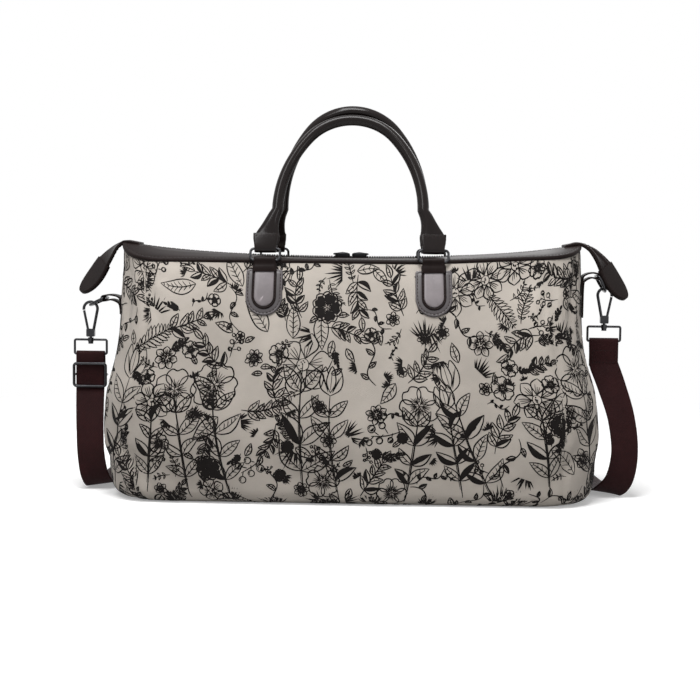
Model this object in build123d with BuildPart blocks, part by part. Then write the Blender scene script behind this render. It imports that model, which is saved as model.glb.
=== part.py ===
from build123d import *
import math
import os

# Gym bag of printed fabric with leather handles, a curved zip and a clip-on shoulder strap.
# Millimetres. +Z is up, -Y is the front, -X is the end with the strap's slide.
# The origin is the middle of the underside.

os.makedirs("parts", exist_ok=True)

# Fabric body
bag_length = 500.0
bag_depth = 200.0
bag_height = 241.0
mouth_length = 474.0
mouth_depth = 98.0
panel_thickness = 3.0
bottom_round = 14.0
gusset_length = 38.0
base_board_thickness = 2.5
base_board_gap = 8.0

# Height as a share of the bag's height, then how far the section has grown from the mouth's
# length and depth to the bag's own, and the corner radius as a share of half the depth
body_sections = [
    (0.00, 0.50, 0.92, 0.54),
    (0.15, 0.88, 0.98, 0.58),
    (0.25, 1.00, 1.00, 0.60),
    (0.42, 0.84, 0.95, 0.62),
    (0.58, 0.31, 0.81, 0.66),
    (0.75, 0.08, 0.59, 0.73),
    (0.89, 0.10, 0.30, 0.81),
    (1.00, 0.00, 0.00, 0.90),
]

# Mouth: the zip rises towards both ends along one arc
zip_lift = 3.0
zip_arc_radius = 1734.0
zip_band_width = 28.0
zip_tape_width = 27.0
zip_tape_thickness = 1.2
leather_thickness = 2.0
zip_gap = 16.0
chain_width = 6.4
chain_height = 2.7
chain_pitch = 6.0

# Zip sliders
slider_length = 12.0
slider_half_gap = 1.0
slider_wall = 1.2
slider_travel = 6.6
pull_length = 15.0
pull_width = 7.0
pull_thickness = 1.4
pull_pivot_radius = 1.5

# Handles
handle_tube = 5.5
handle_span = 149.6
handle_foot_span = 170.0
handle_leg_height = 55.5
handle_top_radius = 58.0
handle_side_radius = 130.0
handle_blade_width = 24.0
handle_blade_thickness = 4.4
handle_blade_start = 18.0
handle_blade_end = 29.0
front_lean = 23.3
back_lean = 11.5

# Metal rings that carry the handles, and the leather that holds them
handle_ring_wire = 1.3
handle_ring_height = 12.4
handle_ring_corner = 3.8
ring_clearance = 0.3
chape_width = 22.0
chape_length = 42.0
chape_wall = 2.2
wrap_width = 26.0
wrap_length = 27.0
wrap_wall = 1.7
wrap_bar_wall = 2.45
patch_width = 36.5
patch_length = 44.0
patch_drop = 10.0
patch_thickness = 1.8
skin_gap = 0.2
ring_stand_off = 5.2
ring_rise = 0.5

# End tabs and the rings that they hold
end_tab_width = 20.0
end_tab_thickness = 3.4
d_ring_wire = 1.5
d_ring_half_width = 12.6
d_ring_depth = 17.7
d_ring_corner = 2.2
left_loop_reach = 15.2
left_loop_height = 199.5
left_d_ring_angle = 25.0
left_tab_foot = 184.0
right_loop_reach = 13.2
right_loop_height = 228.0
right_d_ring_angle = 62.0
right_tab_foot = 186.0

# Snap hooks
hook_wire = 1.5
hook_eye_radius = 7.25
hook_leg_foot = 2.4
hook_length = 33.0
hook_nose_angle = 10.0
hook_seat_gap = 0.3
gate_wire = 1.3
gate_pivot_offset = 2.6
gate_pivot_depth = 31.0
gate_knuckle_radius = 1.9
gate_pin_radius = 0.8
pin_clearance = 0.05
hook_block_width = 8.6
hook_block_depth = 5.2
hook_block_top = 28.5
hook_block_bottom = 36.8
hook_slot_width = 3.2
shank_radius = 1.5
shank_clearance = 0.08
rivet_radius = 2.6
rivet_top = 42.3
rivet_height = 2.0

# Rings between the hooks and the strap
strap_ring_wire = 1.2
strap_ring_height = 15.0
strap_ring_corner = 1.6
strap_ring_top = 40.0
boss_radius = 3.0
boss_half_height = 2.2

# Shoulder strap and its slide
strap_width = 30.0
strap_thickness = 1.6
strap_bar_gap = 0.5
strap_side_gap = 0.4
slide_wire = 1.5
slide_height = 24.0
slide_below_bar = 22.0
slide_bar_wire = 1.3
slide_bar_back = 1.8
slide_corner = 3.0
strap_fold_length = 24.0
strap_sewn_share = 0.9
strap_end_margin = 2.0
strap_lay_distance = 72.0

# Soft ends of the zip that hang over the gussets
tail_width = 27.0
tail_thickness = 3.4
tail_twist = 40.0
tail_reach = 29.6
tail_drop = 20.6
tail_hang = math.radians(58.0)
seam_gap = 0.05
tail_tab_length = 42.0
tail_tab_width = 30.0
tail_tab_thickness = 4.4

half_length = bag_length / 2
seam_x = half_length - gusset_length
rim_half_length = mouth_length / 2
rim_half_depth = mouth_depth / 2
rim_corner = body_sections[-1][3] * rim_half_depth
zip_low = bag_height + zip_lift
band_half = zip_band_width / 2
foot_x = handle_foot_span / 2
pivot_y = rim_half_depth + ring_stand_off
pivot_z = bag_height + ring_rise


def zip_height(x):
    """Height of the zip's arc at a distance x from the middle."""
    return zip_low + zip_arc_radius - math.sqrt(zip_arc_radius**2 - x**2)


def body_half_sizes(section):
    """Half the length and half the depth of one of the body's sections."""
    length = mouth_length + (bag_length - mouth_length) * section[1]
    depth = mouth_depth + (bag_depth - mouth_depth) * section[2]
    return length / 2, depth / 2


def body_form(grow):
    """The fabric body as one solid, moved outwards by grow, or inwards when it is negative."""
    with BuildPart() as form:
        for section in body_sections:
            along, across = body_half_sizes(section)
            with BuildSketch(Plane.XY.offset(section[0] * bag_height)):
                RectangleRounded(2 * (along + grow), 2 * (across + grow), section[3] * across + grow)
        loft()
        if grow < 0:
            with BuildSketch(Plane.XY):
                Rectangle(2 * bag_length, 2 * bag_depth)
            extrude(amount=-grow, mode=Mode.SUBTRACT)
        fillet(form.faces().sort_by(Axis.Z)[0].edges(), bottom_round + grow)
    return form.part


def body_half_length_at(height):
    """Half the body's length at a height, read between its sections."""
    share = height / bag_height
    for lower, upper in zip(body_sections, body_sections[1:]):
        if share <= upper[0]:
            part_way = (share - lower[0]) / (upper[0] - lower[0])
            low_half, high_half = body_half_sizes(lower)[0], body_half_sizes(upper)[0]
            return low_half + (high_half - low_half) * part_way
    return rim_half_length


def mouth_form(grow):
    """Roof over the mouth: flat under the zip band and sloping down to the front and back rims."""
    stations = 12
    with BuildPart() as form:
        for number in range(stations + 1):
            x = mouth_length * (number / stations - 0.5)
            low = bag_height - leather_thickness
            rim = bag_height + grow
            top = zip_height(x) + grow
            with BuildSketch(Plane.YZ.offset(x)):
                Polygon(
                    (-rim_half_depth, low),
                    (rim_half_depth, low),
                    (rim_half_depth, rim),
                    (band_half, top),
                    (-band_half, top),
                    (-rim_half_depth, rim),
                    align=None,
                )
        loft(ruled=True)
    return form.part


def rim_prism(inset, height):
    """Upright block over the mouth's outline, moved inwards by inset."""
    with BuildPart() as block:
        with BuildSketch(Plane.XY.offset(bag_height - panel_thickness)):
            RectangleRounded(mouth_length - 2 * inset, mouth_depth - 2 * inset, rim_corner - inset)
        extrude(amount=height)
    return block.part


# Fabric panels: one shell of the body, parted where the seams run
outer_form = body_form(0)
inner_form = body_form(-panel_thickness)
roof_rise = zip_height(rim_half_length) - bag_height + 2 * panel_thickness
gable_roof = mouth_form(-zip_tape_thickness - 2 * skin_gap)
rim_outer = rim_prism(0, roof_rise)
rim_inner = rim_prism(panel_thickness, roof_rise)

with BuildPart() as body_shell:
    add(outer_form)
    add(inner_form, mode=Mode.SUBTRACT)

with BuildPart() as gable:
    add(rim_outer)
    add(rim_inner, mode=Mode.SUBTRACT)
    add(gable_roof, mode=Mode.INTERSECT)
    with BuildSketch(Plane.XY.offset(bag_height)):
        Rectangle(mouth_length, mouth_depth)
    extrude(amount=roof_rise, mode=Mode.INTERSECT)

with BuildPart() as front_panel:
    add(body_shell.part)
    with BuildSketch(Plane.XZ):
        with Locations((0, bottom_round + bag_height / 2)):
            Rectangle(2 * seam_x, bag_height)
    extrude(amount=bag_depth, mode=Mode.INTERSECT)
front_panel.part.label = "front_panel"
export_step(front_panel.part, "parts/front_panel.step")

with BuildPart() as back_panel:
    add(body_shell.part)
    with BuildSketch(Plane.XZ):
        with Locations((0, bottom_round + bag_height / 2)):
            Rectangle(2 * seam_x, bag_height)
    extrude(amount=-bag_depth, mode=Mode.INTERSECT)
back_panel.part.label = "back_panel"
export_step(back_panel.part, "parts/back_panel.step")

with BuildPart() as bottom_panel:
    add(body_shell.part)
    with BuildSketch(Plane.XY.offset(-bottom_round)):
        Rectangle(2 * bag_length, 2 * bag_depth)
    extrude(amount=2 * bottom_round, mode=Mode.INTERSECT)
bottom_panel.part.label = "bottom_panel"
export_step(bottom_panel.part, "parts/bottom_panel.step")

for side, gusset_name in ((-1, "left_gusset"), (1, "right_gusset")):
    with BuildPart() as gusset:
        add(body_shell.part)
        add(gable.part)
        with BuildSketch(Plane.XY.offset(bottom_round)):
            with Locations((side * (seam_x + gusset_length), 0)):
                Rectangle(2 * gusset_length, 2 * bag_depth)
        extrude(amount=bag_height + roof_rise, mode=Mode.INTERSECT)
    gusset.part.label = gusset_name
    export_step(gusset.part, f"parts/{gusset_name}.step")

# Stiff board that keeps the bottom flat
board_inset = bottom_round + base_board_gap
with BuildPart() as base_board:
    board_along, board_across = body_half_sizes(body_sections[0])
    with BuildSketch(Plane.XY.offset(panel_thickness)):
        RectangleRounded(
            2 * (board_along - board_inset),
            2 * (board_across - board_inset),
            body_sections[0][3] * board_across - board_inset,
        )
    extrude(amount=base_board_thickness)
base_board.part.label = "base_board"
export_step(base_board.part, "parts/base_board.step")

# Leather strips along both sides of the mouth
strip_top = mouth_form(leather_thickness)
strip_bottom = mouth_form(0)
strip_outline = rim_prism(0, roof_rise + leather_thickness)

for side, strip_name in ((-1, "front_mouth_strip"), (1, "back_mouth_strip")):
    with BuildPart() as mouth_strip:
        add(strip_top)
        add(strip_bottom, mode=Mode.SUBTRACT)
        add(strip_outline, mode=Mode.INTERSECT)
        with BuildSketch(Plane.XY.offset(bag_height)):
            with Locations((0, side * (zip_gap + mouth_depth) / 2)):
                Rectangle(mouth_length, mouth_depth)
        extrude(amount=2 * roof_rise, mode=Mode.INTERSECT)
    mouth_strip.part.label = strip_name
    export_step(mouth_strip.part, f"parts/{strip_name}.step")

# Zip tape and its row of teeth, bent along the mouth's arc
arc_centre = (0, zip_low + zip_arc_radius)
tape_top_radius = zip_arc_radius + skin_gap
tape_bottom_radius = tape_top_radius + zip_tape_thickness
chain_top_radius = zip_arc_radius - chain_height
zip_half_turn = math.degrees(math.asin((rim_half_length - 1) / zip_arc_radius))


def arc_strip(low_radius, high_radius, half_turn, width):
    """Strip that follows the zip's arc, between two radii from its centre."""
    with BuildPart() as strip:
        with BuildSketch(Plane.XZ) as profile:
            with BuildLine():
                start = -90 - half_turn
                low = CenterArc(arc_centre, low_radius, start, 2 * half_turn)
                high = CenterArc(arc_centre, high_radius, start, 2 * half_turn)
                Line(low @ 0, high @ 0)
                Line(low @ 1, high @ 1)
            make_face()
        extrude(amount=width / 2, both=True)
    return strip.part


with BuildPart() as zip_tape:
    add(arc_strip(tape_bottom_radius, tape_top_radius, zip_half_turn, zip_tape_width))
    add(strip_outline, mode=Mode.INTERSECT)
zip_tape.part.label = "zip_tape"
export_step(zip_tape.part, "parts/zip_tape.step")

chain_half_turn = zip_half_turn - math.degrees(chain_pitch / zip_arc_radius)
tooth_count = int(2 * math.radians(chain_half_turn) * zip_arc_radius / chain_pitch)
tooth_turn = math.degrees(chain_pitch / zip_arc_radius)
with BuildPart() as zip_chain:
    chain_core_radius = chain_top_radius + chain_height / 3
    add(arc_strip(tape_top_radius, chain_core_radius, chain_half_turn, chain_width))
    with BuildSketch(Plane(origin=(0, 0, arc_centre[1]), x_dir=(1, 0, 0), z_dir=(0, -1, 0))):
        first = -90 - tooth_turn * (tooth_count - 1) / 2
        with PolarLocations(chain_top_radius + chain_height / 2, tooth_count, first, tooth_turn * tooth_count):
            Rectangle(chain_height, chain_pitch / 2)
    extrude(amount=chain_width / 2, both=True)
zip_chain.part.label = "zip_chain"
export_step(zip_chain.part, "parts/zip_chain.step")

# Sliders: a plate over the chain with two cheeks, and two ears that hold the pull
plate_low = zip_low + chain_height + ring_clearance
plate_high = plate_low + slider_wall
slider_half_width = chain_width / 2 + ring_clearance + slider_wall
pull_pivot_x = slider_half_gap + 3.0
pull_pivot_z = plate_high + ring_clearance + pull_pivot_radius
pull_pin_radius = pull_pivot_radius / 2
ear_gap = 4.8
ear_thickness = 0.9

for side, end_name in ((-1, "left"), (1, "right")):
    with BuildPart() as slider:
        with BuildSketch(Plane.XY.offset(plate_low)):
            slider_end = slider_half_gap + slider_length
            Polygon(
                (side * slider_half_gap, -slider_half_width),
                (side * (slider_half_gap + slider_length / 2), -slider_half_width),
                (side * slider_end, -slider_half_width + slider_wall),
                (side * slider_end, slider_half_width - slider_wall),
                (side * (slider_half_gap + slider_length / 2), slider_half_width),
                (side * slider_half_gap, slider_half_width),
                align=None,
            )
        extrude(amount=slider_wall)
        with BuildSketch(Plane.XY.offset(zip_low + ring_clearance)):
            cheek_y = slider_half_width - slider_wall / 2
            with Locations(*[(side * (slider_half_gap + slider_length / 4), y) for y in (-cheek_y, cheek_y)]):
                Rectangle(slider_length / 2, slider_wall)
        extrude(amount=plate_high - zip_low - ring_clearance)
        ear_top = pull_pivot_z + pull_pin_radius + ear_thickness
        with BuildSketch(Plane.XZ.offset(-(ear_gap + 2 * ear_thickness) / 2)):
            with Locations((side * pull_pivot_x, (plate_low + ear_top) / 2)):
                Rectangle(3.6, ear_top - plate_low)
        extrude(amount=ear_gap + 2 * ear_thickness)
        with BuildSketch(Plane.XZ.offset(-ear_gap / 2)):
            with Locations((side * pull_pivot_x, plate_high + bag_height / 2)):
                Rectangle(slider_length / 2, bag_height)
        extrude(amount=ear_gap, mode=Mode.SUBTRACT)
        with BuildSketch(Plane.XZ):
            with Locations((side * pull_pivot_x, pull_pivot_z)):
                Circle(pull_pin_radius)
        extrude(amount=ear_gap / 2 + ear_thickness / 2, both=True)
    slider.part.label = f"{end_name}_slider"
    export_step(slider.part, f"parts/{end_name}_slider.step")

    with BuildPart() as pull:
        with BuildSketch(Plane.XZ):
            with Locations((side * pull_pivot_x, pull_pivot_z)):
                Circle(pull_pivot_radius)
            with Locations((side * (pull_pivot_x + 1.8), pull_pivot_z)):
                Rectangle(3.6, pull_thickness)
        extrude(amount=ear_gap / 2 - skin_gap, both=True)
        with BuildSketch(Plane.XY.offset(pull_pivot_z - pull_thickness / 2)):
            with Locations((side * (pull_pivot_x + 3.2 + (pull_length - 3.2) / 2), 0)):
                RectangleRounded(pull_length - 3.2, pull_width, pull_width / 2 - 0.6)
            with Locations((side * (pull_pivot_x + pull_length - 4), 0)):
                Circle(1.4, mode=Mode.SUBTRACT)
        extrude(amount=pull_thickness)
        with BuildSketch(Plane.XZ):
            with Locations((side * pull_pivot_x, pull_pivot_z)):
                Circle(pull_pin_radius + pin_clearance)
        extrude(amount=pull_width, both=True, mode=Mode.SUBTRACT)
    pull.part.label = f"{end_name}_pull"
    export_step(pull.part, f"parts/{end_name}_pull.step")


def handle_plane(side, lean):
    """Plane of a leaning handle: its origin is the ring bars' axis and its Y runs up the handle."""
    angle = math.radians(lean)
    return Plane(
        origin=(0, side * pivot_y, pivot_z),
        x_dir=(-side, 0, 0),
        z_dir=(0, side * math.cos(angle), math.sin(angle)),
    )


def leg_plane(plane, x, height):
    """Cross plane of a handle's leg at a place in the handle's own plane."""
    return Plane(origin=plane.from_local_coords((x, height, 0)), x_dir=plane.x_dir, z_dir=plane.y_dir)


def side_plane(plane, x):
    """Plane across a handle at x, with its Y up the handle, for what wraps the ring bars."""
    return Plane(origin=plane.from_local_coords((x, 0, 0)), x_dir=-plane.z_dir, z_dir=plane.x_dir)


# Handles: a rolled tube on three arcs, each foot flattened into a blade over its ring
side_centre_x = handle_span / 2 - handle_side_radius
turn_cosine = -side_centre_x / (handle_side_radius - handle_top_radius)
shoulder_angle = math.degrees(math.acos(turn_cosine))
top_centre_height = handle_leg_height + (handle_side_radius - handle_top_radius) * math.sin(
    math.radians(shoulder_angle)
)
blade_half = handle_blade_thickness / 2
flare_sections = [
    (handle_leg_height, 0.00, 0.00),
    (handle_leg_height - 0.50 * (handle_leg_height - handle_blade_end), 0.40, 0.42),
    (handle_blade_end, 0.82, 1.00),
]


def carry_handle(plane):
    """One handle in its plane."""
    with BuildPart() as handle:
        with BuildLine(plane) as tube_path:
            CenterArc((side_centre_x, handle_leg_height), handle_side_radius, 0, shoulder_angle)
            CenterArc((0, top_centre_height), handle_top_radius, shoulder_angle, 180 - 2 * shoulder_angle)
            CenterArc(
                (-side_centre_x, handle_leg_height), handle_side_radius, 180 - shoulder_angle, shoulder_angle
            )
        with BuildSketch(leg_plane(plane, handle_span / 2, handle_leg_height)):
            Circle(handle_tube)
        sweep(path=tube_path.wire())
        for side in (-1, 1):
            for height, spread, flatness in flare_sections:
                x = side * (handle_span / 2 + (foot_x - handle_span / 2) * spread)
                wide = handle_tube + (handle_blade_width / 2 - handle_tube) * min(1.0, spread / 0.82)
                thin = handle_tube + (blade_half - handle_tube) * flatness
                with BuildSketch(leg_plane(plane, x, height)):
                    Ellipse(wide, thin)
            loft()
            for height, spread in ((handle_blade_end, 0.82), (handle_blade_start, 1.0)):
                x = side * (handle_span / 2 + (foot_x - handle_span / 2) * spread)
                with BuildSketch(leg_plane(plane, x, height)):
                    Ellipse(handle_blade_width / 2, blade_half)
            loft(ruled=True)
    return handle.part


def wire_ring(plane, width, height, corner, wire):
    """Rectangular wire ring in a plane; its lower bar runs through the plane's origin."""
    with BuildPart() as ring:
        with BuildLine(plane) as path:
            FilletPolyline(
                (-width / 2, 0),
                (width / 2, 0),
                (width / 2, height),
                (-width / 2, height),
                radius=corner,
                close=True,
            )
        with BuildSketch(Plane(origin=path.wire() @ 0, z_dir=path.wire() % 0)):
            Circle(wire)
        sweep(path=path.wire())
    return ring.part


handle_ring_width = chape_width + ring_clearance + 2 * handle_ring_corner
bar_hole = handle_ring_wire + ring_clearance
wrap_half_gap = blade_half + 0.15
front_form_inner = body_form(skin_gap)
patch_form = body_form(skin_gap + patch_thickness)
chape_inner_form = body_form(skin_gap + patch_thickness + skin_gap)
chape_form = body_form(skin_gap + patch_thickness + skin_gap + leather_thickness)


for face, face_name, lean in ((-1, "front", front_lean), (1, "back", back_lean)):
    plane = handle_plane(face, lean)
    handle = carry_handle(plane)
    handle.label = f"{face_name}_handle"
    export_step(handle, f"parts/{face_name}_handle.step")

    for end, end_name in ((-1, "left"), (1, "right")):
        # The handle's plane is turned about on the back, so left and right change over there
        local_x = -face * end * foot_x
        place = f"{face_name}_{end_name}"

        ring_plane = Plane(
            origin=plane.from_local_coords((local_x, 0, 0)), x_dir=plane.x_dir, z_dir=plane.z_dir
        )
        ring = wire_ring(
            ring_plane, handle_ring_width, handle_ring_height, handle_ring_corner, handle_ring_wire
        )
        ring.label = f"{place}_ring"
        export_step(ring, f"parts/{place}_ring.step")

        with BuildPart() as wrap:
            wrap_outside = wrap_half_gap + wrap_wall
            with BuildSketch(side_plane(plane, local_x)):
                with Locations((0, handle_ring_height)):
                    Circle(bar_hole + wrap_bar_wall)
                with Locations((0, (handle_ring_height + wrap_length) / 2)):
                    Rectangle(2 * wrap_outside, wrap_length - handle_ring_height)
                with Locations((0, (handle_blade_start + wrap_length) / 2)):
                    Rectangle(2 * wrap_half_gap, wrap_length - handle_blade_start + 1, mode=Mode.SUBTRACT)
                with Locations((0, handle_ring_height)):
                    Circle(bar_hole, mode=Mode.SUBTRACT)
            extrude(amount=wrap_width / 2, both=True)
            with BuildSketch(ring_plane):
                Polygon(
                    (-chape_width / 2, 0),
                    (chape_width / 2, 0),
                    (chape_width / 2, handle_ring_height + bar_hole),
                    (wrap_width / 2, wrap_length),
                    (-wrap_width / 2, wrap_length),
                    (-chape_width / 2, handle_ring_height + bar_hole),
                    align=None,
                )
            extrude(amount=wrap_width, both=True, mode=Mode.INTERSECT)
        wrap.part.label = f"{place}_wrap"
        export_step(wrap.part, f"parts/{place}_wrap.step")

        with BuildPart() as patch:
            add(patch_form)
            add(front_form_inner, mode=Mode.SUBTRACT)
            with BuildSketch(Plane.XZ):
                patch_top = bag_height - patch_drop
                with Locations((end * foot_x, patch_top - (patch_length - patch_width / 2) / 2)):
                    Rectangle(patch_width, patch_length - patch_width / 2)
                with Locations((end * foot_x, patch_top - patch_length + patch_width / 2)):
                    Circle(patch_width / 2)
            extrude(amount=-face * bag_depth, mode=Mode.INTERSECT)
        patch.part.label = f"{place}_patch"
        export_step(patch.part, f"parts/{place}_patch.step")

        with BuildPart() as chape:
            add(chape_form)
            add(chape_inner_form, mode=Mode.SUBTRACT)
            with BuildSketch(Plane.XZ):
                chape_top = bag_height - skin_gap
                with Locations((end * foot_x, chape_top - (chape_length - chape_width / 2) / 2)):
                    Rectangle(chape_width, chape_length - chape_width / 2)
                with Locations((end * foot_x, chape_top - chape_length + chape_width / 2)):
                    Circle(chape_width / 2)
            extrude(amount=-face * bag_depth, mode=Mode.INTERSECT)
            with BuildSketch(Plane.YZ.offset(end * foot_x)):
                with Locations((face * pivot_y, pivot_z)):
                    Circle(bar_hole + chape_wall)
            extrude(amount=chape_width / 2, both=True)
            with BuildSketch(Plane.YZ.offset(end * foot_x)):
                with Locations((face * pivot_y, pivot_z)):
                    Circle(bar_hole)
            extrude(amount=chape_width, both=True, mode=Mode.SUBTRACT)
        chape.part.label = f"{place}_chape"
        export_step(chape.part, f"parts/{place}_chape.step")


# Ends of the bag: a sewn tab with a ring, a snap hook with its gate, and the strap's ring
def unit(vector):
    """The vector at length one."""
    return vector / vector.length


def tangent_point(start, centre, radius, turn):
    """Where the line from start touches a circle, on the side that turn (1 or -1) names."""
    to_centre = centre - start
    reach = math.sqrt(to_centre.length**2 - radius**2)
    angle = turn * math.degrees(math.asin(radius / to_centre.length))
    return start + unit(to_centre).rotate(Axis.Z, angle) * reach


end_values = [
    (-1, "left", left_loop_reach, left_loop_height, left_d_ring_angle, left_tab_foot),
    (1, "right", right_loop_reach, right_loop_height, right_d_ring_angle, right_tab_foot),
]
strap_ring_width = strap_width + 2 * strap_side_gap + 2 * strap_ring_corner
hook_places = {}

for side, end_name, reach, loop_height, ring_angle, tab_foot in end_values:
    wall_x = max(body_half_length_at(height) for height in (tab_foot, 0.9 * bag_height, loop_height))
    tab_x = wall_x + 2 * skin_gap + end_tab_thickness / 2
    loop_x = tab_x + reach + d_ring_wire + end_tab_thickness / 2
    drop = math.radians(ring_angle)
    tip_x = loop_x + d_ring_depth * math.cos(drop)
    tip_z = loop_height - d_ring_depth * math.sin(drop)
    apex_z = tip_z + d_ring_wire + hook_wire + hook_seat_gap
    hook_places[end_name] = (tip_x, apex_z)

    loop_hole = d_ring_wire + ring_clearance
    with BuildPart() as end_tab:
        with BuildSketch(Plane.XZ):
            with BuildLine():
                FilletPolyline(
                    (side * tab_x, tab_foot),
                    (side * tab_x, loop_height - 0.4 * reach),
                    (side * loop_x, loop_height),
                    radius=0.5 * reach,
                )
            trace(line_width=end_tab_thickness)
            with Locations((side * loop_x, loop_height)):
                Circle(loop_hole + end_tab_thickness / 2)
                Circle(loop_hole, mode=Mode.SUBTRACT)
        extrude(amount=end_tab_width / 2, both=True)
    end_tab.part.label = f"{end_name}_end_tab"
    export_step(end_tab.part, f"parts/{end_name}_end_tab.step")

    ring_plane = Plane(
        origin=(side * loop_x, 0, loop_height),
        x_dir=(0, -side, 0),
        z_dir=(side * math.sin(drop), 0, math.cos(drop)),
    )
    bow_start = d_ring_depth - d_ring_half_width
    with BuildPart() as d_ring:
        with BuildLine(ring_plane) as bow_path:
            leg = FilletPolyline(
                (-d_ring_half_width, bow_start),
                (-d_ring_half_width, 0),
                (d_ring_half_width, 0),
                (d_ring_half_width, bow_start),
                radius=d_ring_corner,
            )
            CenterArc((0, bow_start), d_ring_half_width, 0, 180)
        with BuildSketch(Plane(origin=bow_path.wire() @ 0, z_dir=bow_path.wire() % 0)):
            Circle(d_ring_wire)
        sweep(path=bow_path.wire())
    d_ring.part.label = f"{end_name}_d_ring"
    export_step(d_ring.part, f"parts/{end_name}_d_ring.step")

    # The hook hangs in the XZ plane with its eye over the ring's bow; its gate is on the outside
    hook_plane = Plane(origin=(tip_x * side, 0, apex_z), x_dir=(1, 0, 0), z_dir=(0, -1, 0))
    eye_centre = Vector(0, -hook_eye_radius)
    leg_foot = Vector(side * -hook_leg_foot, -hook_length)
    leg_top = tangent_point(leg_foot, eye_centre, hook_eye_radius, -side * -1)
    nose_angle = math.radians(-hook_nose_angle)
    nose = eye_centre + Vector(side * math.cos(nose_angle), math.sin(nose_angle)) * hook_eye_radius
    gate_pivot = Vector(side * gate_pivot_offset, -gate_pivot_depth)
    with BuildPart() as hook:
        with BuildLine(hook_plane) as hook_path:
            Line(tuple(leg_foot), tuple(leg_top))
            ThreePointArc(tuple(leg_top), (0, 0), tuple(nose))
        with BuildSketch(Plane(origin=hook_path.wire() @ 0, z_dir=hook_path.wire() % 0)):
            Circle(hook_wire)
        sweep(path=hook_path.wire())
        with BuildSketch(hook_plane):
            with Locations((0, -(hook_block_top + hook_block_bottom) / 2)):
                RectangleRounded(hook_block_width, hook_block_bottom - hook_block_top, 1.2)
        extrude(amount=hook_block_depth / 2, both=True)
        slot_start = gate_pivot_offset - gate_knuckle_radius - 2 * ring_clearance
        slot_depth = gate_pivot_depth + gate_knuckle_radius + 2 * ring_clearance
        with BuildSketch(hook_plane):
            slot_top = hook_block_top - 2 * ring_clearance
            with Locations((side * (slot_start + hook_block_width / 2), -(slot_top + slot_depth) / 2)):
                Rectangle(hook_block_width, slot_depth - slot_top)
        extrude(amount=hook_slot_width / 2, both=True, mode=Mode.SUBTRACT)
        with BuildSketch(hook_plane):
            with Locations(tuple(gate_pivot)):
                Circle(gate_pin_radius)
        extrude(amount=hook_block_depth / 2, both=True)
        with BuildSketch(Plane.XY.offset(apex_z - hook_block_bottom)):
            with Locations((side * tip_x, 0)):
                Circle(shank_radius)
        extrude(amount=-(rivet_top + rivet_height - hook_block_bottom))
        with BuildSketch(Plane.XY.offset(apex_z - rivet_top)):
            with Locations((side * tip_x, 0)):
                Circle(rivet_radius)
        extrude(amount=-rivet_height)
    hook.part.label = f"{end_name}_hook"
    export_step(hook.part, f"parts/{end_name}_hook.step")

    gate_top = nose + unit(gate_pivot - nose) * (hook_wire * 0.2 + ring_clearance)
    with BuildPart() as gate:
        with BuildLine(hook_plane) as gate_path:
            Line(tuple(gate_pivot), tuple(gate_top))
        with BuildSketch(Plane(origin=gate_path.wire() @ 0, z_dir=gate_path.wire() % 0)):
            Circle(gate_wire)
        sweep(path=gate_path.wire())
        with BuildSketch(hook_plane):
            with Locations(tuple(gate_pivot)):
                Circle(gate_knuckle_radius)
        extrude(amount=gate_wire, both=True)
        with BuildSketch(hook_plane):
            with Locations(tuple(gate_pivot)):
                Circle(gate_pin_radius + pin_clearance)
        extrude(amount=hook_block_depth, both=True, mode=Mode.SUBTRACT)
    gate.part.label = f"{end_name}_gate"
    export_step(gate.part, f"parts/{end_name}_gate.step")

    strap_ring_plane = Plane(
        origin=(side * tip_x, 0, apex_z - strap_ring_top - strap_ring_height), x_dir=(1, 0, 0), z_dir=(0, -1, 0)
    )
    ring = wire_ring(
        strap_ring_plane, strap_ring_width, strap_ring_height, strap_ring_corner, strap_ring_wire
    )
    with BuildPart() as strap_ring:
        add(ring)
        with BuildSketch(Plane.XY.offset(apex_z - strap_ring_top - boss_half_height)):
            with Locations((side * tip_x, 0)):
                Circle(boss_radius)
        extrude(amount=2 * boss_half_height)
        with BuildSketch(Plane.XY.offset(apex_z - strap_ring_top - 2 * boss_half_height)):
            with Locations((side * tip_x, 0)):
                Circle(shank_radius + shank_clearance)
        extrude(amount=4 * boss_half_height, mode=Mode.SUBTRACT)
    strap_ring.part.label = f"{end_name}_strap_ring"
    export_step(strap_ring.part, f"parts/{end_name}_strap_ring.step")


# Shoulder strap: flat webbing that hangs from one ring, runs round the back and up to the other
left_x, left_apex = hook_places["left"]
right_x, right_apex = hook_places["right"]
left_x = -left_x
left_bar_z = left_apex - strap_ring_top - strap_ring_height
right_bar_z = right_apex - strap_ring_top - strap_ring_height
layer_middle = -(strap_ring_wire + strap_bar_gap + strap_thickness / 2)
slide_z = left_bar_z - slide_below_bar
left_top = slide_z - slide_height / 2 - strap_end_margin
right_top = right_bar_z - strap_fold_length
back_y = bag_depth / 2 + strap_lay_distance
edge_z = strap_width / 2 + skin_gap

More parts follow.
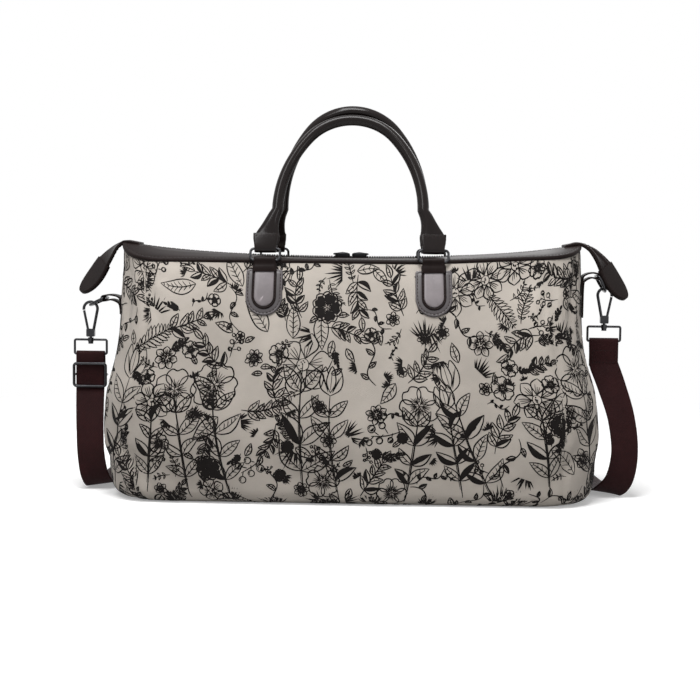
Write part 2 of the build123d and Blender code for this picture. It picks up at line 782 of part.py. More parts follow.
# Each place: the middle of the webbing, and the direction of its width
left_route = [
    ((left_x, layer_middle, left_top), (1, 0, 0)),
    ((left_x + 0.5, -11, 84), (1, -0.1, 0)),
    ((left_x + 1, -20, 62), (0.97, -0.2, 0)),
    ((left_x + 3, -27, 38), (0.97, -0.2, 0)),
    ((left_x + 8, -28, 18), (0.98, -0.1, 0.1)),
    ((left_x + 12.5, -19, 6), (0.98, 0, 0.15)),
    ((left_x + 14, 0, 4), (0.98, 0, 0.14)),
    ((left_x + 13, 26, 6.5), (0.95, 0, 0.25)),
    ((left_x + 13, 60, 13), (0.75, 0, 0.65)),
    ((left_x + 20, 102, edge_z), (0.15, 0, 1)),
    ((left_x + 45, 146, edge_z), (0, 0, 1)),
    ((left_x + 105, back_y, edge_z), (0, 0, 1)),
    ((left_x + 190, back_y + 6, edge_z), (0, 0, 1)),
]
right_route = [
    ((right_x - 180, back_y + 6, edge_z), (0, 0, 1)),
    ((right_x - 95, back_y, edge_z), (0, 0, 1)),
    ((right_x - 34, 146, edge_z), (0, 0, 1)),
    ((right_x - 10, 102, edge_z), (-0.15, 0, 1)),
    ((right_x - 3, 60, 13), (-0.75, 0, 0.65)),
    ((right_x - 3, 26, 6.5), (-0.95, 0, 0.25)),
    ((right_x - 1, 0, 4), (-0.98, 0, 0.14)),
    ((right_x + 5, -19, 6), (-0.98, 0, 0.15)),
    ((right_x + 15, -28, 20), (-0.98, -0.15, 0.1)),
    ((right_x + 20, -27, 48), (-0.95, -0.3, 0)),
    ((right_x + 17, -19, 82), (-0.97, -0.25, 0)),
    ((right_x + 8, -9, 114), (-1, -0.1, 0)),
    ((right_x, layer_middle, right_top), (-1, 0, 0)),
]
route = left_route + [((0, back_y + 8, edge_z), (0, 0, 1))] + right_route
strap_line = Spline(*[place for place, width in route], tangents=((0, 0, -1), (0, 0, 1)))
strap_steps = 3


def webbing_plane(number, step):
    """Cross plane of the webbing, part of the way from one place of the route to the next."""
    start = strap_line.param_at_point(Vector(*route[number][0]))
    width = Vector(*route[number][1])
    if step:
        share = step / strap_steps
        end = strap_line.param_at_point(Vector(*route[number + 1][0]))
        start = start + (end - start) * share
        width = width * (1 - share) + Vector(*route[number + 1][1]) * share
    along = strap_line % start
    width = unit(width - along * width.dot(along))
    return Plane(origin=strap_line @ start, x_dir=width, z_dir=along)


rear_layer = slide_bar_wire + ring_clearance + strap_thickness / 2
with BuildPart() as shoulder_strap:
    for number in range(len(route) - 1):
        for step in range(strap_steps + 1):
            last = step == strap_steps
            with BuildSketch(webbing_plane(number + last, 0 if last else step)):
                Rectangle(strap_width, strap_thickness)
        loft(ruled=True)
    # Left end: over the ring's bar and down behind, round the slide's rear bar
    with BuildSketch(Plane.YZ.offset(left_x)):
        with BuildLine():
            Line((layer_middle, left_top), (layer_middle, left_bar_z))
            CenterArc((0, left_bar_z), -layer_middle, 0, 180)
            Line((-layer_middle, left_bar_z), (slide_bar_back + rear_layer, slide_z))
            CenterArc((slide_bar_back, slide_z), rear_layer, 180, 180)
            Line((slide_bar_back - rear_layer, slide_z), (slide_bar_back - rear_layer, slide_z + 8))
        trace(line_width=strap_thickness)
    extrude(amount=strap_width / 2, both=True)
    # Right end: over the bar and folded back onto itself, where it is sewn
    fold_inner = layer_middle + (strap_sewn_share - 0.5) * strap_thickness
    fold_outer = fold_inner + strap_thickness
    bend_inner = -layer_middle - strap_thickness / 2
    bend_outer = -layer_middle + strap_thickness / 2
    fold_z = right_bar_z - strap_fold_length / 2
    fold_end = right_top + strap_end_margin
    with BuildSketch(Plane.YZ.offset(right_x)):
        with BuildLine():
            Line((layer_middle, right_top), (layer_middle, right_bar_z))
            CenterArc((0, right_bar_z), -layer_middle, 0, 180)
        trace(line_width=strap_thickness)
        Polygon(
            (bend_inner, right_bar_z),
            (bend_outer, right_bar_z),
            (fold_outer, fold_z),
            (fold_outer, fold_end),
            (fold_inner, fold_end),
            (fold_inner, fold_z),
            align=None,
        )
    extrude(amount=strap_width / 2, both=True)
shoulder_strap.part.label = "shoulder_strap"
export_step(shoulder_strap.part, "parts/shoulder_strap.step")

# Slide that takes up the webbing: a frame in front and a bar behind, joined by two posts
slide_width = strap_width + 2 * ring_clearance + 2 * slide_wire
slide_y = layer_middle - strap_thickness / 2 - ring_clearance - slide_wire
slide_plane = Plane(origin=(left_x, slide_y, slide_z - slide_height / 2), x_dir=(1, 0, 0), z_dir=(0, -1, 0))
slide_frame = wire_ring(slide_plane, slide_width, slide_height, slide_corner, slide_wire)
with BuildPart() as strap_slide:
    add(slide_frame)
    with BuildSketch(Plane.XZ.offset(-slide_y)):
        with Locations(*[(left_x + end * slide_width / 2, slide_z) for end in (-1, 1)]):
            Circle(slide_bar_wire)
    extrude(amount=slide_y - slide_bar_back)
    with BuildSketch(Plane.YZ.offset(left_x)):
        with Locations((slide_bar_back, slide_z)):
            Circle(slide_bar_wire)
    extrude(amount=slide_width / 2 + slide_bar_wire / 2, both=True)
strap_slide.part.label = "strap_slide"
export_step(strap_slide.part, "parts/strap_slide.step")

# Zip tails: the band runs on past both ends of the mouth, twists and hangs, with a leather tab
tail_start_z = zip_height(rim_half_length) + (leather_thickness - zip_tape_thickness - skin_gap) / 2
tail_steps = 6

for side, end_name in ((-1, "left"), (1, "right")):
    tail_line = Spline(
        (side * (rim_half_length + seam_gap), 0, tail_start_z),
        (side * (rim_half_length + 0.38 * tail_reach), 0, tail_start_z - 0.16 * tail_drop),
        (side * (rim_half_length + 0.76 * tail_reach), 0, tail_start_z - 0.60 * tail_drop),
        (side * (rim_half_length + tail_reach), 0, tail_start_z - tail_drop),
        tangents=((side, 0, 0.05), (side * math.cos(tail_hang), 0, -math.sin(tail_hang))),
    )

    def tail_plane(share):
        """Cross plane of the tail: the band's width turns towards the front as it hangs."""
        along = tail_line % share
        upward = Vector(-side * along.Z, 0, side * along.X)
        turn = math.radians(tail_twist) * share
        width = Vector(0, -1, 0) * math.cos(turn) - upward * math.sin(turn)
        return Plane(origin=tail_line @ share, x_dir=width, z_dir=along)

    with BuildPart() as zip_tail:
        for step in range(tail_steps + 1):
            with BuildSketch(tail_plane(step / tail_steps)):
                Rectangle(tail_width, tail_thickness)
        loft()
    zip_tail.part.label = f"{end_name}_zip_tail"
    export_step(zip_tail.part, f"parts/{end_name}_zip_tail.step")

    end_plane = tail_plane(1)
    with BuildPart() as tail_tab:
        with BuildSketch(Plane(origin=end_plane.origin, x_dir=end_plane.x_dir, z_dir=-end_plane.y_dir)):
            with BuildLine():
                Line((-tail_width / 2, 0), (tail_width / 2, 0))
                for edge in (-1, 1):
                    Spline(
                        (edge * tail_width / 2, 0),
                        (edge * tail_tab_width / 2, 0.35 * tail_tab_length),
                        (0, tail_tab_length),
                        tangents=((0, 1), (-edge, 0.15)),
                    )
            make_face()
        extrude(amount=tail_tab_thickness / 2, both=True)
    tail_tab.part.label = f"{end_name}_tail_tab"
    export_step(tail_tab.part, f"parts/{end_name}_tail_tab.step")
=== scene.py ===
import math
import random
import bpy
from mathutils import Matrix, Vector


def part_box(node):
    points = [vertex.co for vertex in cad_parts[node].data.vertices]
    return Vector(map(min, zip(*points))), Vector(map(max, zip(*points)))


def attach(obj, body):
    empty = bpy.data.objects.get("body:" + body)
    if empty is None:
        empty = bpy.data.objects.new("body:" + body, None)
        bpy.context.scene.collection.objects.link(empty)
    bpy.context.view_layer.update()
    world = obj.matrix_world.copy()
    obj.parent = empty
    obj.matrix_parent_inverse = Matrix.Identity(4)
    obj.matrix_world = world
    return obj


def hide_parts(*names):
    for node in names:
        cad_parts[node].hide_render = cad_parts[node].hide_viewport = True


bl_info = {
    "name": "Gym Bag Dresser",
    "version": (1, 0, 0),
    "blender": (4, 5, 0),
    "location": "View3D > Sidebar > Gym Bag",
    "description": "Dresses the gym bag's frame in printed fabric, leather, webbing and metal",
    "category": "Add Mesh",
}

import bpy
import numpy as np
from bpy.props import FloatProperty, FloatVectorProperty, IntProperty, PointerProperty
from mathutils import Matrix, Vector

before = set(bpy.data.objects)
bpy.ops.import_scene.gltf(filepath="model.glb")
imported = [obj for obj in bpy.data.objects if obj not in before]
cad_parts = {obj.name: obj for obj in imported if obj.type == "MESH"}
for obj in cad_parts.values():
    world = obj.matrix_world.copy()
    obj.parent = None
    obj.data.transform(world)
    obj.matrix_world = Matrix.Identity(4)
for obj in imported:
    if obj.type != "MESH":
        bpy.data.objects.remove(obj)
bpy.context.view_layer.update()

MM = 0.001
FINISH = "bag_"
ENDS = ((-1, "left"), (1, "right"))
FACES = ((-1, "front"), (1, "back"))

# Body of the bag, read from the frame
HALF_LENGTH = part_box("right_gusset")[1].x
HALF_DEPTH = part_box("back_panel")[1].y
RIM_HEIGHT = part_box("front_panel")[1].z
RIM_HALF_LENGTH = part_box("front_mouth_strip")[1].x
RIM_HALF_DEPTH = -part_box("front_mouth_strip")[0].y
ZIP_END_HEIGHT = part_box("front_mouth_strip")[1].z - 2.0 * MM
ZIP_MIDDLE_HEIGHT = RIM_HEIGHT + 3.0 * MM
BOTTOM_ROUND = 14 * MM
BOTTOM_ARC = BOTTOM_ROUND * math.pi / 2
WALL_HEIGHT = BOTTOM_ARC + RIM_HEIGHT - BOTTOM_ROUND
BAND_HALF = 14 * MM
SKEW = 3.5 * MM
ZIP_SAG = 2.75 * MM
ZIP_SAG_TILT = 0.75 * MM
RIM_LIFT = 6 * MM
RIM_LIFT_SPAN = (60 * MM, 222 * MM)
END_SWELL = 3.0
SHELL_THICKNESS = 1.4 * MM

# Body sections: share of the height, then how far the section has grown from the mouth's length
# and depth to the bag's own, and the corner radius as a share of half the depth
BODY_SECTIONS = (
    (0.00, 0.50, 0.92, 0.54),
    (0.15, 0.88, 0.98, 0.58),
    (0.25, 1.00, 1.00, 0.60),
    (0.42, 0.84, 0.95, 0.62),
    (0.58, 0.31, 0.81, 0.66),
    (0.75, 0.08, 0.59, 0.73),
    (0.89, 0.10, 0.30, 0.81),
    (1.00, 0.00, 0.00, 0.90),
)

# The flat pattern runs round the bag: 0 is the middle of the front, and it grows to the right
FLAT_HALF = 189 * MM
FLAT_CORNER = 91 * MM
FLAT_SIDE = 37 * MM
QUARTER = FLAT_HALF + FLAT_CORNER + FLAT_SIDE
GIRTH = 4 * QUARTER
SEAM_PLACE = FLAT_HALF + 0.26 * FLAT_CORNER

# Handles and what holds them
PIVOT_Y = RIM_HALF_DEPTH + 5.2 * MM
PIVOT_Z = RIM_HEIGHT + 0.5 * MM
FOOT_X = 85 * MM
LEANS = {"front": 23.3, "back": 11.5}


def srgb(*channels):
    """Colour given as it looks on a screen, from 0 to 255, as linear values."""
    return tuple(((c / 255 + 0.055) / 1.055) ** 2.4 if c > 10 else c / 255 / 12.92 for c in channels)


class BagColours(bpy.types.PropertyGroup):
    """Colours of the bag's finishes"""

    fabric: FloatVectorProperty(
        name="Fabric", description="Ground colour of the woven fabric", subtype="COLOR", size=3,
        min=0, max=1, default=srgb(203, 194, 184),
    )
    ink: FloatVectorProperty(
        name="Print", description="Colour of the printed lines", subtype="COLOR", size=3,
        min=0, max=1, default=srgb(16, 13, 12),
    )
    leather: FloatVectorProperty(
        name="Leather", description="Colour of the handles, tabs and patches", subtype="COLOR", size=3,
        min=0, max=1, default=srgb(30, 23, 22),
    )
    # Painted reflection: the facing's pale grey stands for gloss on the dark leather, painted into its
    # colour.
    facing: FloatVectorProperty(
        name="Patch facing", description="Paler leather on the middle of the patches", subtype="COLOR",
        size=3, min=0, max=1, default=srgb(124, 117, 119),
    )
    webbing: FloatVectorProperty(
        name="Webbing", description="Colour of the shoulder strap", subtype="COLOR", size=3,
        min=0, max=1, default=srgb(44, 19, 20),
    )
    metal: FloatVectorProperty(
        name="Metal", description="Colour of the rings and hooks", subtype="COLOR", size=3,
        min=0, max=1, default=srgb(56, 56, 58),
    )


class BagSizes(bpy.types.PropertyGroup):
    """Sizes that change how the bag looks inside its frame"""

    fold_depth: FloatProperty(
        name="Fold depth", description="How strongly the fabric folds, as a share", default=1.0,
        min=0, max=1.5, subtype="FACTOR",
    )
    line_width: FloatProperty(
        name="Line width", description="Width of the print's lines", default=1.35 * MM,
        min=0.3 * MM, max=3 * MM, unit="LENGTH",
    )
    print_seed: IntProperty(name="Print seed", description="Picks one layout of the print", default=7, min=0)
    stitch_length: FloatProperty(
        name="Stitch", description="Length of one stitch", default=2.5 * MM, min=1 * MM, max=6 * MM,
        unit="LENGTH",
    )
    handle_tube: FloatProperty(
        name="Handle radius", description="Radius of the rolled handles", default=5.5 * MM,
        min=3 * MM, max=7 * MM, unit="LENGTH",
    )


class StageSettings(bpy.types.PropertyGroup):
    """Camera and lamps"""

    camera_distance: FloatProperty(
        name="Distance", description="From the camera to the bag's middle", default=1.4, min=0.5,
        unit="LENGTH",
    )
    camera_height: FloatProperty(
        name="Height", description="Of the camera above the floor", default=0.2464, min=0,
        unit="LENGTH",
    )
    camera_azimuth: FloatProperty(
        name="Azimuth", description="How far the camera stands to the right", subtype="ANGLE",
        default=math.radians(2.0),
    )
    camera_pitch: FloatProperty(
        name="Pitch", description="How far the camera looks down", subtype="ANGLE",
        default=math.radians(4.03),
    )
    camera_roll: FloatProperty(
        name="Roll", description="Turn of the camera about its view", subtype="ANGLE",
        default=math.radians(0.6),
    )
    lens: FloatProperty(name="Lens", description="Focal length in millimetres", default=68.6, min=10)
    sideways: FloatProperty(
        name="Shift", description="Sideways shift of the frame, as a share of its width", default=0.0,
    )


def linear_blend(low, high, share):
    """Value part of the way from low to high."""
    return low + (high - low) * share


def ease(low, high, value):
    """0 below low, 1 above high and a smooth change between them."""
    share = np.clip((value - low) / (high - low), 0, 1)
    return share * share * (3 - 2 * share)


# Surface of the fabric body
def section_table():
    """Body sections on a fine scale, joined by smooth curves."""
    rows = np.array(BODY_SECTIONS)
    slopes = np.gradient(rows[:, 1:], rows[:, 0], axis=0)
    fine = np.linspace(0, 1, 241)
    spans = np.clip(np.searchsorted(rows[:, 0], fine, side="right") - 1, 0, len(rows) - 2)
    low, high = rows[spans], rows[spans + 1]
    gap = (high[:, 0] - low[:, 0])[:, None]
    t = ((fine - low[:, 0]) / gap[:, 0])[:, None]
    values = (
        (2 * t**3 - 3 * t**2 + 1) * low[:, 1:]
        + (t**3 - 2 * t**2 + t) * gap * slopes[spans]
        + (3 * t**2 - 2 * t**3) * high[:, 1:]
        + (t**3 - t**2) * gap * slopes[spans + 1]
    )
    return fine, values


SECTION_SHARES, SECTION_VALUES = section_table()


def section_at(height):
    """Half length, half depth and corner radius of the body at a height."""
    share = np.clip(height / RIM_HEIGHT, 0, 1)
    length, depth, corner = (np.interp(share, SECTION_SHARES, SECTION_VALUES[:, i]) for i in range(3))
    half_length = RIM_HALF_LENGTH + (HALF_LENGTH - RIM_HALF_LENGTH) * length
    half_depth = RIM_HALF_DEPTH + (HALF_DEPTH - RIM_HALF_DEPTH) * depth
    return half_length, half_depth, corner * half_depth


def zip_height(x):
    """Height of the mouth's arc at a distance x from the middle. The left end sags more."""
    end = ZIP_END_HEIGHT - ZIP_MIDDLE_HEIGHT - ZIP_SAG + ZIP_SAG_TILT * np.sign(x)
    share = (x / RIM_HALF_LENGTH) ** 2
    return ZIP_MIDDLE_HEIGHT + end * (share + share**2) / 2


def rim_height(x):
    """Height of the rim, which is pulled up at the right end."""
    return RIM_HEIGHT + RIM_LIFT * ease(*RIM_LIFT_SPAN, x)


def roof_height(x, y):
    """Height of the roof over the mouth, from the zip band down to both rims."""
    share = np.clip((np.abs(y) - BAND_HALF) / (RIM_HALF_DEPTH - BAND_HALF), 0, 1)
    return zip_height(x) + (rim_height(x) - zip_height(x)) * share


def smooth_body(place, up):
    """Points of the body without its folds. place runs round the bag and up runs up its wall."""
    low = up < BOTTOM_ARC
    bend = np.clip(up, 0, BOTTOM_ARC) / BOTTOM_ROUND
    inset = np.where(low, BOTTOM_ROUND * (1 - np.sin(bend)), 0)
    height = np.where(low, BOTTOM_ROUND * (1 - np.cos(bend)), up - BOTTOM_ARC + BOTTOM_ROUND)
    half_length, half_depth, corner = section_at(height)
    half_length, half_depth = half_length - inset, half_depth - inset
    corner = np.minimum(corner, half_depth)
    along = np.abs(place)
    behind = along > QUARTER
    along = np.where(behind, 2 * QUARTER - along, along)
    turn = np.clip((along - FLAT_HALF) / FLAT_CORNER, 0, 1) * math.pi / 2
    side = np.clip((along - FLAT_HALF - FLAT_CORNER) / FLAT_SIDE, 0, 1)
    x = np.clip(along / FLAT_HALF, 0, 1) * (half_length - corner) + corner * np.sin(turn)
    y = (half_depth - corner) * (1 - side) + corner * np.cos(turn)
    x = np.sign(place) * x + SKEW * (1 - np.clip(height / RIM_HEIGHT, 0, 1))
    top = roof_height(x, y)
    raised = ease(0.86 * RIM_HEIGHT, RIM_HEIGHT, height)
    height = height + (np.maximum(top, RIM_HEIGHT) - RIM_HEIGHT) * raised
    return np.stack([x, np.where(behind, y, -y), height], axis=-1)


# Folds in millimetres: place, height, half length, half width, direction in degrees, depth
QUARTER_MM = QUARTER / MM
FOLDS = (
    (205, 218, 38, 6, 78, -2.6), (223, 222, 36, 5, 97, 1.9), (238, 206, 46, 7, 84, -3.0),
    (196, 232, 26, 5, 20, -1.2), (-203, 214, 42, 6, 96, -2.4), (-221, 226, 30, 5, 84, 1.6),
    (-240, 200, 48, 8, 93, -3.2), (-192, 230, 30, 6, 160, -1.3), (206, 42, 34, 7, 52, -2.4),
    (226, 64, 34, 7, 63, -2.2), (-206, 40, 36, 7, 128, -2.6), (-228, 66, 32, 7, 118, -2.2),
    (178, 34, 30, 8, 24, -1.4), (-176, 36, 32, 8, 156, -1.5), (0, 196, 120, 34, 2, -2.2),
    (-120, 150, 60, 20, 72, -1.5), (132, 144, 64, 22, 105, -1.6), (58, 176, 44, 13, 66, -1.1),
    (-52, 178, 44, 13, 112, -1.1), (20, 92, 150, 52, 0, 2.4), (-150, 96, 60, 26, 80, 1.4),
    (158, 100, 60, 26, 98, 1.5), (96, 60, 46, 12, 30, -1.2), (-84, 52, 48, 12, 152, -1.2),
    (-18, 36, 70, 9, 4, -0.9), (252, 120, 60, 9, 86, -2.4), (-252, 118, 60, 9, 92, -2.6),
    (268, 52, 34, 8, 40, -2.2), (-266, 54, 34, 8, 138, -2.4),
    (QUARTER_MM - 27, 196, 60, 10, 88, -6.0), (QUARTER_MM + 27, 194, 60, 10, 92, -6.0),
    (27 - QUARTER_MM, 190, 62, 10, 92, -6.5), (-QUARTER_MM - 27, 192, 60, 10, 88, -6.0),
    (QUARTER_MM, 92, 58, 18, 88, -3.4), (-QUARTER_MM, 88, 58, 18, 93, -3.6),
    (QUARTER_MM - 34, 50, 30, 8, 30, -2.0), (-QUARTER_MM + 36, 48, 30, 8, 150, -2.2),
    (QUARTER_MM + 60, 120, 70, 9, 92, -2.6), (-QUARTER_MM - 62, 116, 70, 9, 88, -2.6),
    (2 * QUARTER_MM - 40, 190, 90, 30, 3, -2.2), (30 - 2 * QUARTER_MM, 86, 150, 50, 0, 2.2),
    (2 * QUARTER_MM - 150, 130, 70, 18, 76, -1.6), (150 - 2 * QUARTER_MM, 136, 70, 18, 102, -1.6),
    (2 * QUARTER_MM - 196, 44, 36, 8, 125, -2.2), (196 - 2 * QUARTER_MM, 46, 36, 8, 55, -2.2),
    (2 * QUARTER_MM - 205, 214, 40, 6, 84, -2.4), (205 - 2 * QUARTER_MM, 216, 40, 6, 97, -2.4),
)
RIPPLE_ROWS = ((3, 6, 1.0), (6, 12, 0.55), (13, 24, 0.22))


def ripple_waves():
    """Long and short waves that make the fabric uneven: turns round the bag, turns up, depth."""
    pick = random.Random(31)
    waves = []
    for low, high, depth in RIPPLE_ROWS:
        for _ in range(7):
            waves.append(
                (pick.randint(low, high), pick.uniform(low, high) / 5.4, depth * pick.uniform(0.5, 1) / 2.2,
                 pick.uniform(0, 2 * math.pi), pick.uniform(0, 2 * math.pi))
            )
    return waves


RIPPLES = ripple_waves()


def fold_relief(place, up):
    """How far the fabric stands out from its smooth form."""
    relief = np.zeros_like(place)
    for turns, rise, depth, shift, lift in RIPPLES:
        relief += depth * np.cos(2 * math.pi * turns * place / GIRTH + shift) * np.cos(
            2 * math.pi * rise * up / WALL_HEIGHT + lift
        )
    for middle, height, reach, width, direction, depth in FOLDS:
        across = (place / MM - middle + GIRTH / MM / 2) % (GIRTH / MM) - GIRTH / MM / 2
        rise = up / MM - height
        angle = math.radians(direction)
        along = across * math.cos(angle) + rise * math.sin(angle)
        off = -across * math.sin(angle) + rise * math.cos(angle)
        off = off + 2.2 * np.sin(along / 13 + middle)
        relief += depth * np.exp(-((along / reach) ** 2) - (off / width) ** 2)
    for middle in (SEAM_PLACE, -SEAM_PLACE, 2 * QUARTER - SEAM_PLACE, SEAM_PLACE - 2 * QUARTER):
        off = (place - middle) / MM + 1.5 * np.sin(up / MM / 31 + middle)
        relief += -1.5 * np.exp(-((off / 3.2) ** 2)) + 0.5 * np.exp(-(((np.abs(off) - 6) / 4) ** 2))
    tab_area = np.exp(-(((np.abs(place) - QUARTER) / MM / 17) ** 4)) * ease(162 * MM, 176 * MM, up)
    from_middle = QUARTER - np.abs(np.abs(place) - QUARTER)
    at_end = ease(0.62 * QUARTER, 0.8 * QUARTER, from_middle)
    relief = relief - np.clip(relief, 0, None) * at_end
    swell = ease(22 * MM, 62 * MM, up) * (1 - ease(112 * MM, 176 * MM, up))
    relief = relief + END_SWELL * swell * ease(0.66 * QUARTER, 0.9 * QUARTER, from_middle)
    fade = ease(0, BOTTOM_ARC, up) * (1 - ease(WALL_HEIGHT - 16 * MM, WALL_HEIGHT - 2 * MM, up))
    return relief * MM * fade * (1 - tab_area) * bpy.context.scene.bag_sizes.fold_depth


def body_surface(place, up, lift=0.0):
    """Points of the folded fabric and its outward directions, both as arrays."""
    step = 0.6 * MM
    base = smooth_body(place, up)
    level = np.clip(up, step, WALL_HEIGHT - step)
    across = smooth_body(place + step, level) - smooth_body(place - step, level)
    rising = smooth_body(place, level + step) - smooth_body(place, level - step)
    outward = np.cross(across, rising)
    outward /= np.linalg.norm(outward, axis=-1, keepdims=True)
    return base + outward * (fold_relief(place, up) + lift)[..., None], outward


def place_on_face(face, x, height):
    """Places on the flat pattern of points given by x and height on the front or the back."""
    half_length, _, corner = section_at(height)
    place = x * FLAT_HALF / (half_length - corner)
    up = height - BOTTOM_ROUND + BOTTOM_ARC
    return (place if face < 0 else np.sign(x + 1e-9) * 2 * QUARTER - place), up


# Making of meshes
class Draft:
    """Points, faces and pattern coordinates of a piece while it is being made."""

    def __init__(self):
        self.points = []
        self.faces = []
        self.pattern = []

    def add(self, points, faces, pattern=None):
        """Adds a lump with its own numbering."""
        start = len(self.points)
        self.points.extend(tuple(p) for p in points)
        self.faces.extend(tuple(start + i for i in face) for face in faces)
        self.pattern.extend(pattern if pattern is not None else [(0.0, 0.0)] * len(points))


def make_piece(draft, name, body, material, sharp=None):
    """Object of a finished draft that rides on a body and takes a material slot's finish."""
    mesh = bpy.data.meshes.new(name)
    mesh.from_pydata(draft.points, [], draft.faces)
    mesh.validate()
    pattern = mesh.uv_layers.new(name="pattern")
    corners = np.zeros(len(mesh.loops), np.int32)
    mesh.loops.foreach_get("vertex_index", corners)
    pattern.data.foreach_set("uv", np.array(draft.pattern, np.float32)[corners].ravel())
    mesh.polygons.foreach_set("use_smooth", np.ones(len(mesh.polygons), bool))
    if sharp is not None:
        mesh.set_sharp_from_angle(angle=math.radians(sharp))
    mesh.materials.append(bpy.data.materials[FINISH + material])
    piece = bpy.data.objects.new(name, mesh)
    bpy.context.scene.collection.objects.link(piece)
    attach(piece, body)
    return piece


def unit(vector):
    """The vector at length one."""
    return vector.normalized()


def directions(path):
    """Direction of a path at each of its points."""
    found = []
    for i in range(len(path)):
        found.append(unit(path[min(i + 1, len(path) - 1)] - path[max(i - 1, 0)]))
    return found


def tube_faces(rows, count):
    """Faces of a closed tube made of rows rings of count points, with both ends shut."""
    faces = []
    for i in range(rows - 1):
        for j in range(count):
            k = (j + 1) % count
            faces.append((i * count + j, i * count + k, (i + 1) * count + k, (i + 1) * count + j))
    faces.append(tuple(reversed(range(count))))
    faces.append(tuple(range((rows - 1) * count, rows * count)))
    return faces


def turned_over(faces):
    """The faces seen from their other side."""
    return [face[::-1] for face in faces]


EDGE_ROUNDING = 0.45


def band_profile(width, thickness, rows=8, crown=0.0, relief=None):
    """Outline of a flat band as (across, out) pairs; relief(across) lifts its outer face."""
    edge = min(EDGE_ROUNDING * thickness, width / 4)
    half = width / 2
    steps = [-half + edge * (1 - math.cos(a)) for a in (0, 0.5, 1.0)]
    rises = [thickness / 2 * math.sin(a * 1.1) / math.sin(1.1) for a in (0, 0.5, 1.0)]
    inner = [linear_blend(steps[-1], -steps[-1], (i + 1) / (rows + 1)) for i in range(rows)]
    positions = steps + inner + [-s for s in reversed(steps)]
    heights = rises + [thickness / 2] * rows + list(reversed(rises))
    upper = []
    for position, height in zip(positions, heights):
        lift = crown * max(0.0, 1 - (position / half) ** 2)
        lift += relief(position) if relief and abs(position) < half - edge / 2 else 0
        upper.append((position, height + lift))
    lower = [(p, -h) for p, h in zip(reversed(positions[1:-1]), reversed(heights[1:-1]))]
    return upper + lower


def sweep(draft, path, across, profiles):
    """Adds a closed band that follows path. Its width lies along across, and its face looks out."""
    tangents = directions(path)
    points, pattern = [], []
    run = 0.0
    for i, centre in enumerate(path):
        wide = unit(across[i] - tangents[i] * across[i].dot(tangents[i]))
        out = unit(wide.cross(tangents[i]))
        run += (centre - path[i - 1]).length if i else 0
        for a, o in profiles[i]:
            points.append(centre + wide * a + out * o)
            pattern.append((run, a))
    draft.add(points, tube_faces(len(path), len(profiles[0])), pattern)


def curve_through(points, steps=6):
    """Smooth path through a few places."""
    path = []
    for i in range(len(points) - 1):
        before = points[max(i - 1, 0)]
        after = points[min(i + 2, len(points) - 1)]
        a, b = points[i], points[i + 1]
        for step in range(steps):
            t = step / steps
            path.append(
                0.5 * (2 * a + (b - before) * t + (2 * before - 5 * a + 4 * b - after) * t**2
                       + (3 * a - before - 3 * b + after) * t**3)
            )
    path.append(points[-1].copy())
    return path


def resample(path, spacing):
    """Places spaced evenly along a path, with the path's direction at each."""
    lengths = [0.0]
    for a, b in zip(path, path[1:]):
        lengths.append(lengths[-1] + (b - a).length)
    count = max(1, int(lengths[-1] / spacing))
    places, span = [], 0
    for i in range(count):
        target = lengths[-1] * (i + 0.5) / count
        while lengths[span + 1] < target:
            span += 1
        share = (target - lengths[span]) / (lengths[span + 1] - lengths[span])
        spot = path[span].lerp(path[span + 1], share)
        places.append((spot, unit(path[span + 1] - path[span]), span, share))
    return places


# Rings of one stitch: place as a share of its length, and radius as a share of the thread's
STITCH_RINGS = ((-0.5, 0.2), (-0.42, 0.8), (0.0, 1.0), (0.42, 0.8), (0.5, 0.2))


def stitch_row(draft, path, normals, gap=1.3 * MM, thread=0.42 * MM):
    """Adds a row of stitches that lie in a surface along path."""
    length = bpy.context.scene.bag_sizes.stitch_length
    sides = 6
    faces = tube_faces(len(STITCH_RINGS), sides)
    for middle, along, span, share in resample(path, length + gap):
        normal = unit(normals[span].lerp(normals[span + 1], share))
        aside = unit(normal.cross(along))
        points = []
        for shift, size in STITCH_RINGS:
            sunk = -0.5 * thread * abs(shift) * 4
            for k in range(sides):
                angle = 2 * math.pi * k / sides
                points.append(
                    middle + along * (shift * length) + aside * (math.cos(angle) * thread * size)
                    + normal * (math.sin(angle) * thread * size * 0.8 + sunk + 0.1 * thread)
                )
        draft.add(points, faces)


# Shader groups that several finishes share
def new_group(name, inputs, outputs):
    """Node group and its two end nodes. Its sockets are given as (name, kind, default)."""
    group = bpy.data.node_groups.new(name, "ShaderNodeTree")
    for way, sockets in (("INPUT", inputs), ("OUTPUT", outputs)):
        for label, kind, default in sockets:
            socket = group.interface.new_socket(name=label, in_out=way, socket_type="NodeSocket" + kind)
            if default is not None:
                socket.default_value = default
    return group, group.nodes.new("NodeGroupInput"), group.nodes.new("NodeGroupOutput")


def node(tree, kind, **settings):
    """New node with its settings. inputs holds the values of its sockets by name."""
    made = tree.nodes.new(kind)
    for key, value in settings.items():
        if key == "inputs":
            for name, entry in value.items():
                made.inputs[name].default_value = entry
        else:
            setattr(made, key, value)
    return made


def math_node(tree, operation, first, second=None):
    """Result socket of one sum. Its terms are sockets or numbers."""
    made = tree.nodes.new("ShaderNodeMath")
    made.operation = operation
    for i, term in enumerate(t for t in (first, second) if t is not None):
        if isinstance(term, (int, float)):
            made.inputs[i].default_value = term
        else:
            tree.links.new(term, made.inputs[i])
    return made.outputs[0]


def colour_mix(tree, share, first, second):
    """Result socket of a colour mix. Its terms are sockets or colours."""
    made = tree.nodes.new("ShaderNodeMix")
    made.data_type = "RGBA"
    for name, term in ((0, share), (6, first), (7, second)):
        if isinstance(term, (int, float)):
            made.inputs[name].default_value = term
        elif isinstance(term, tuple):
            made.inputs[name].default_value = (*term[:3], 1)
        else:
            tree.links.new(term, made.inputs[name])
    return made.outputs[2]


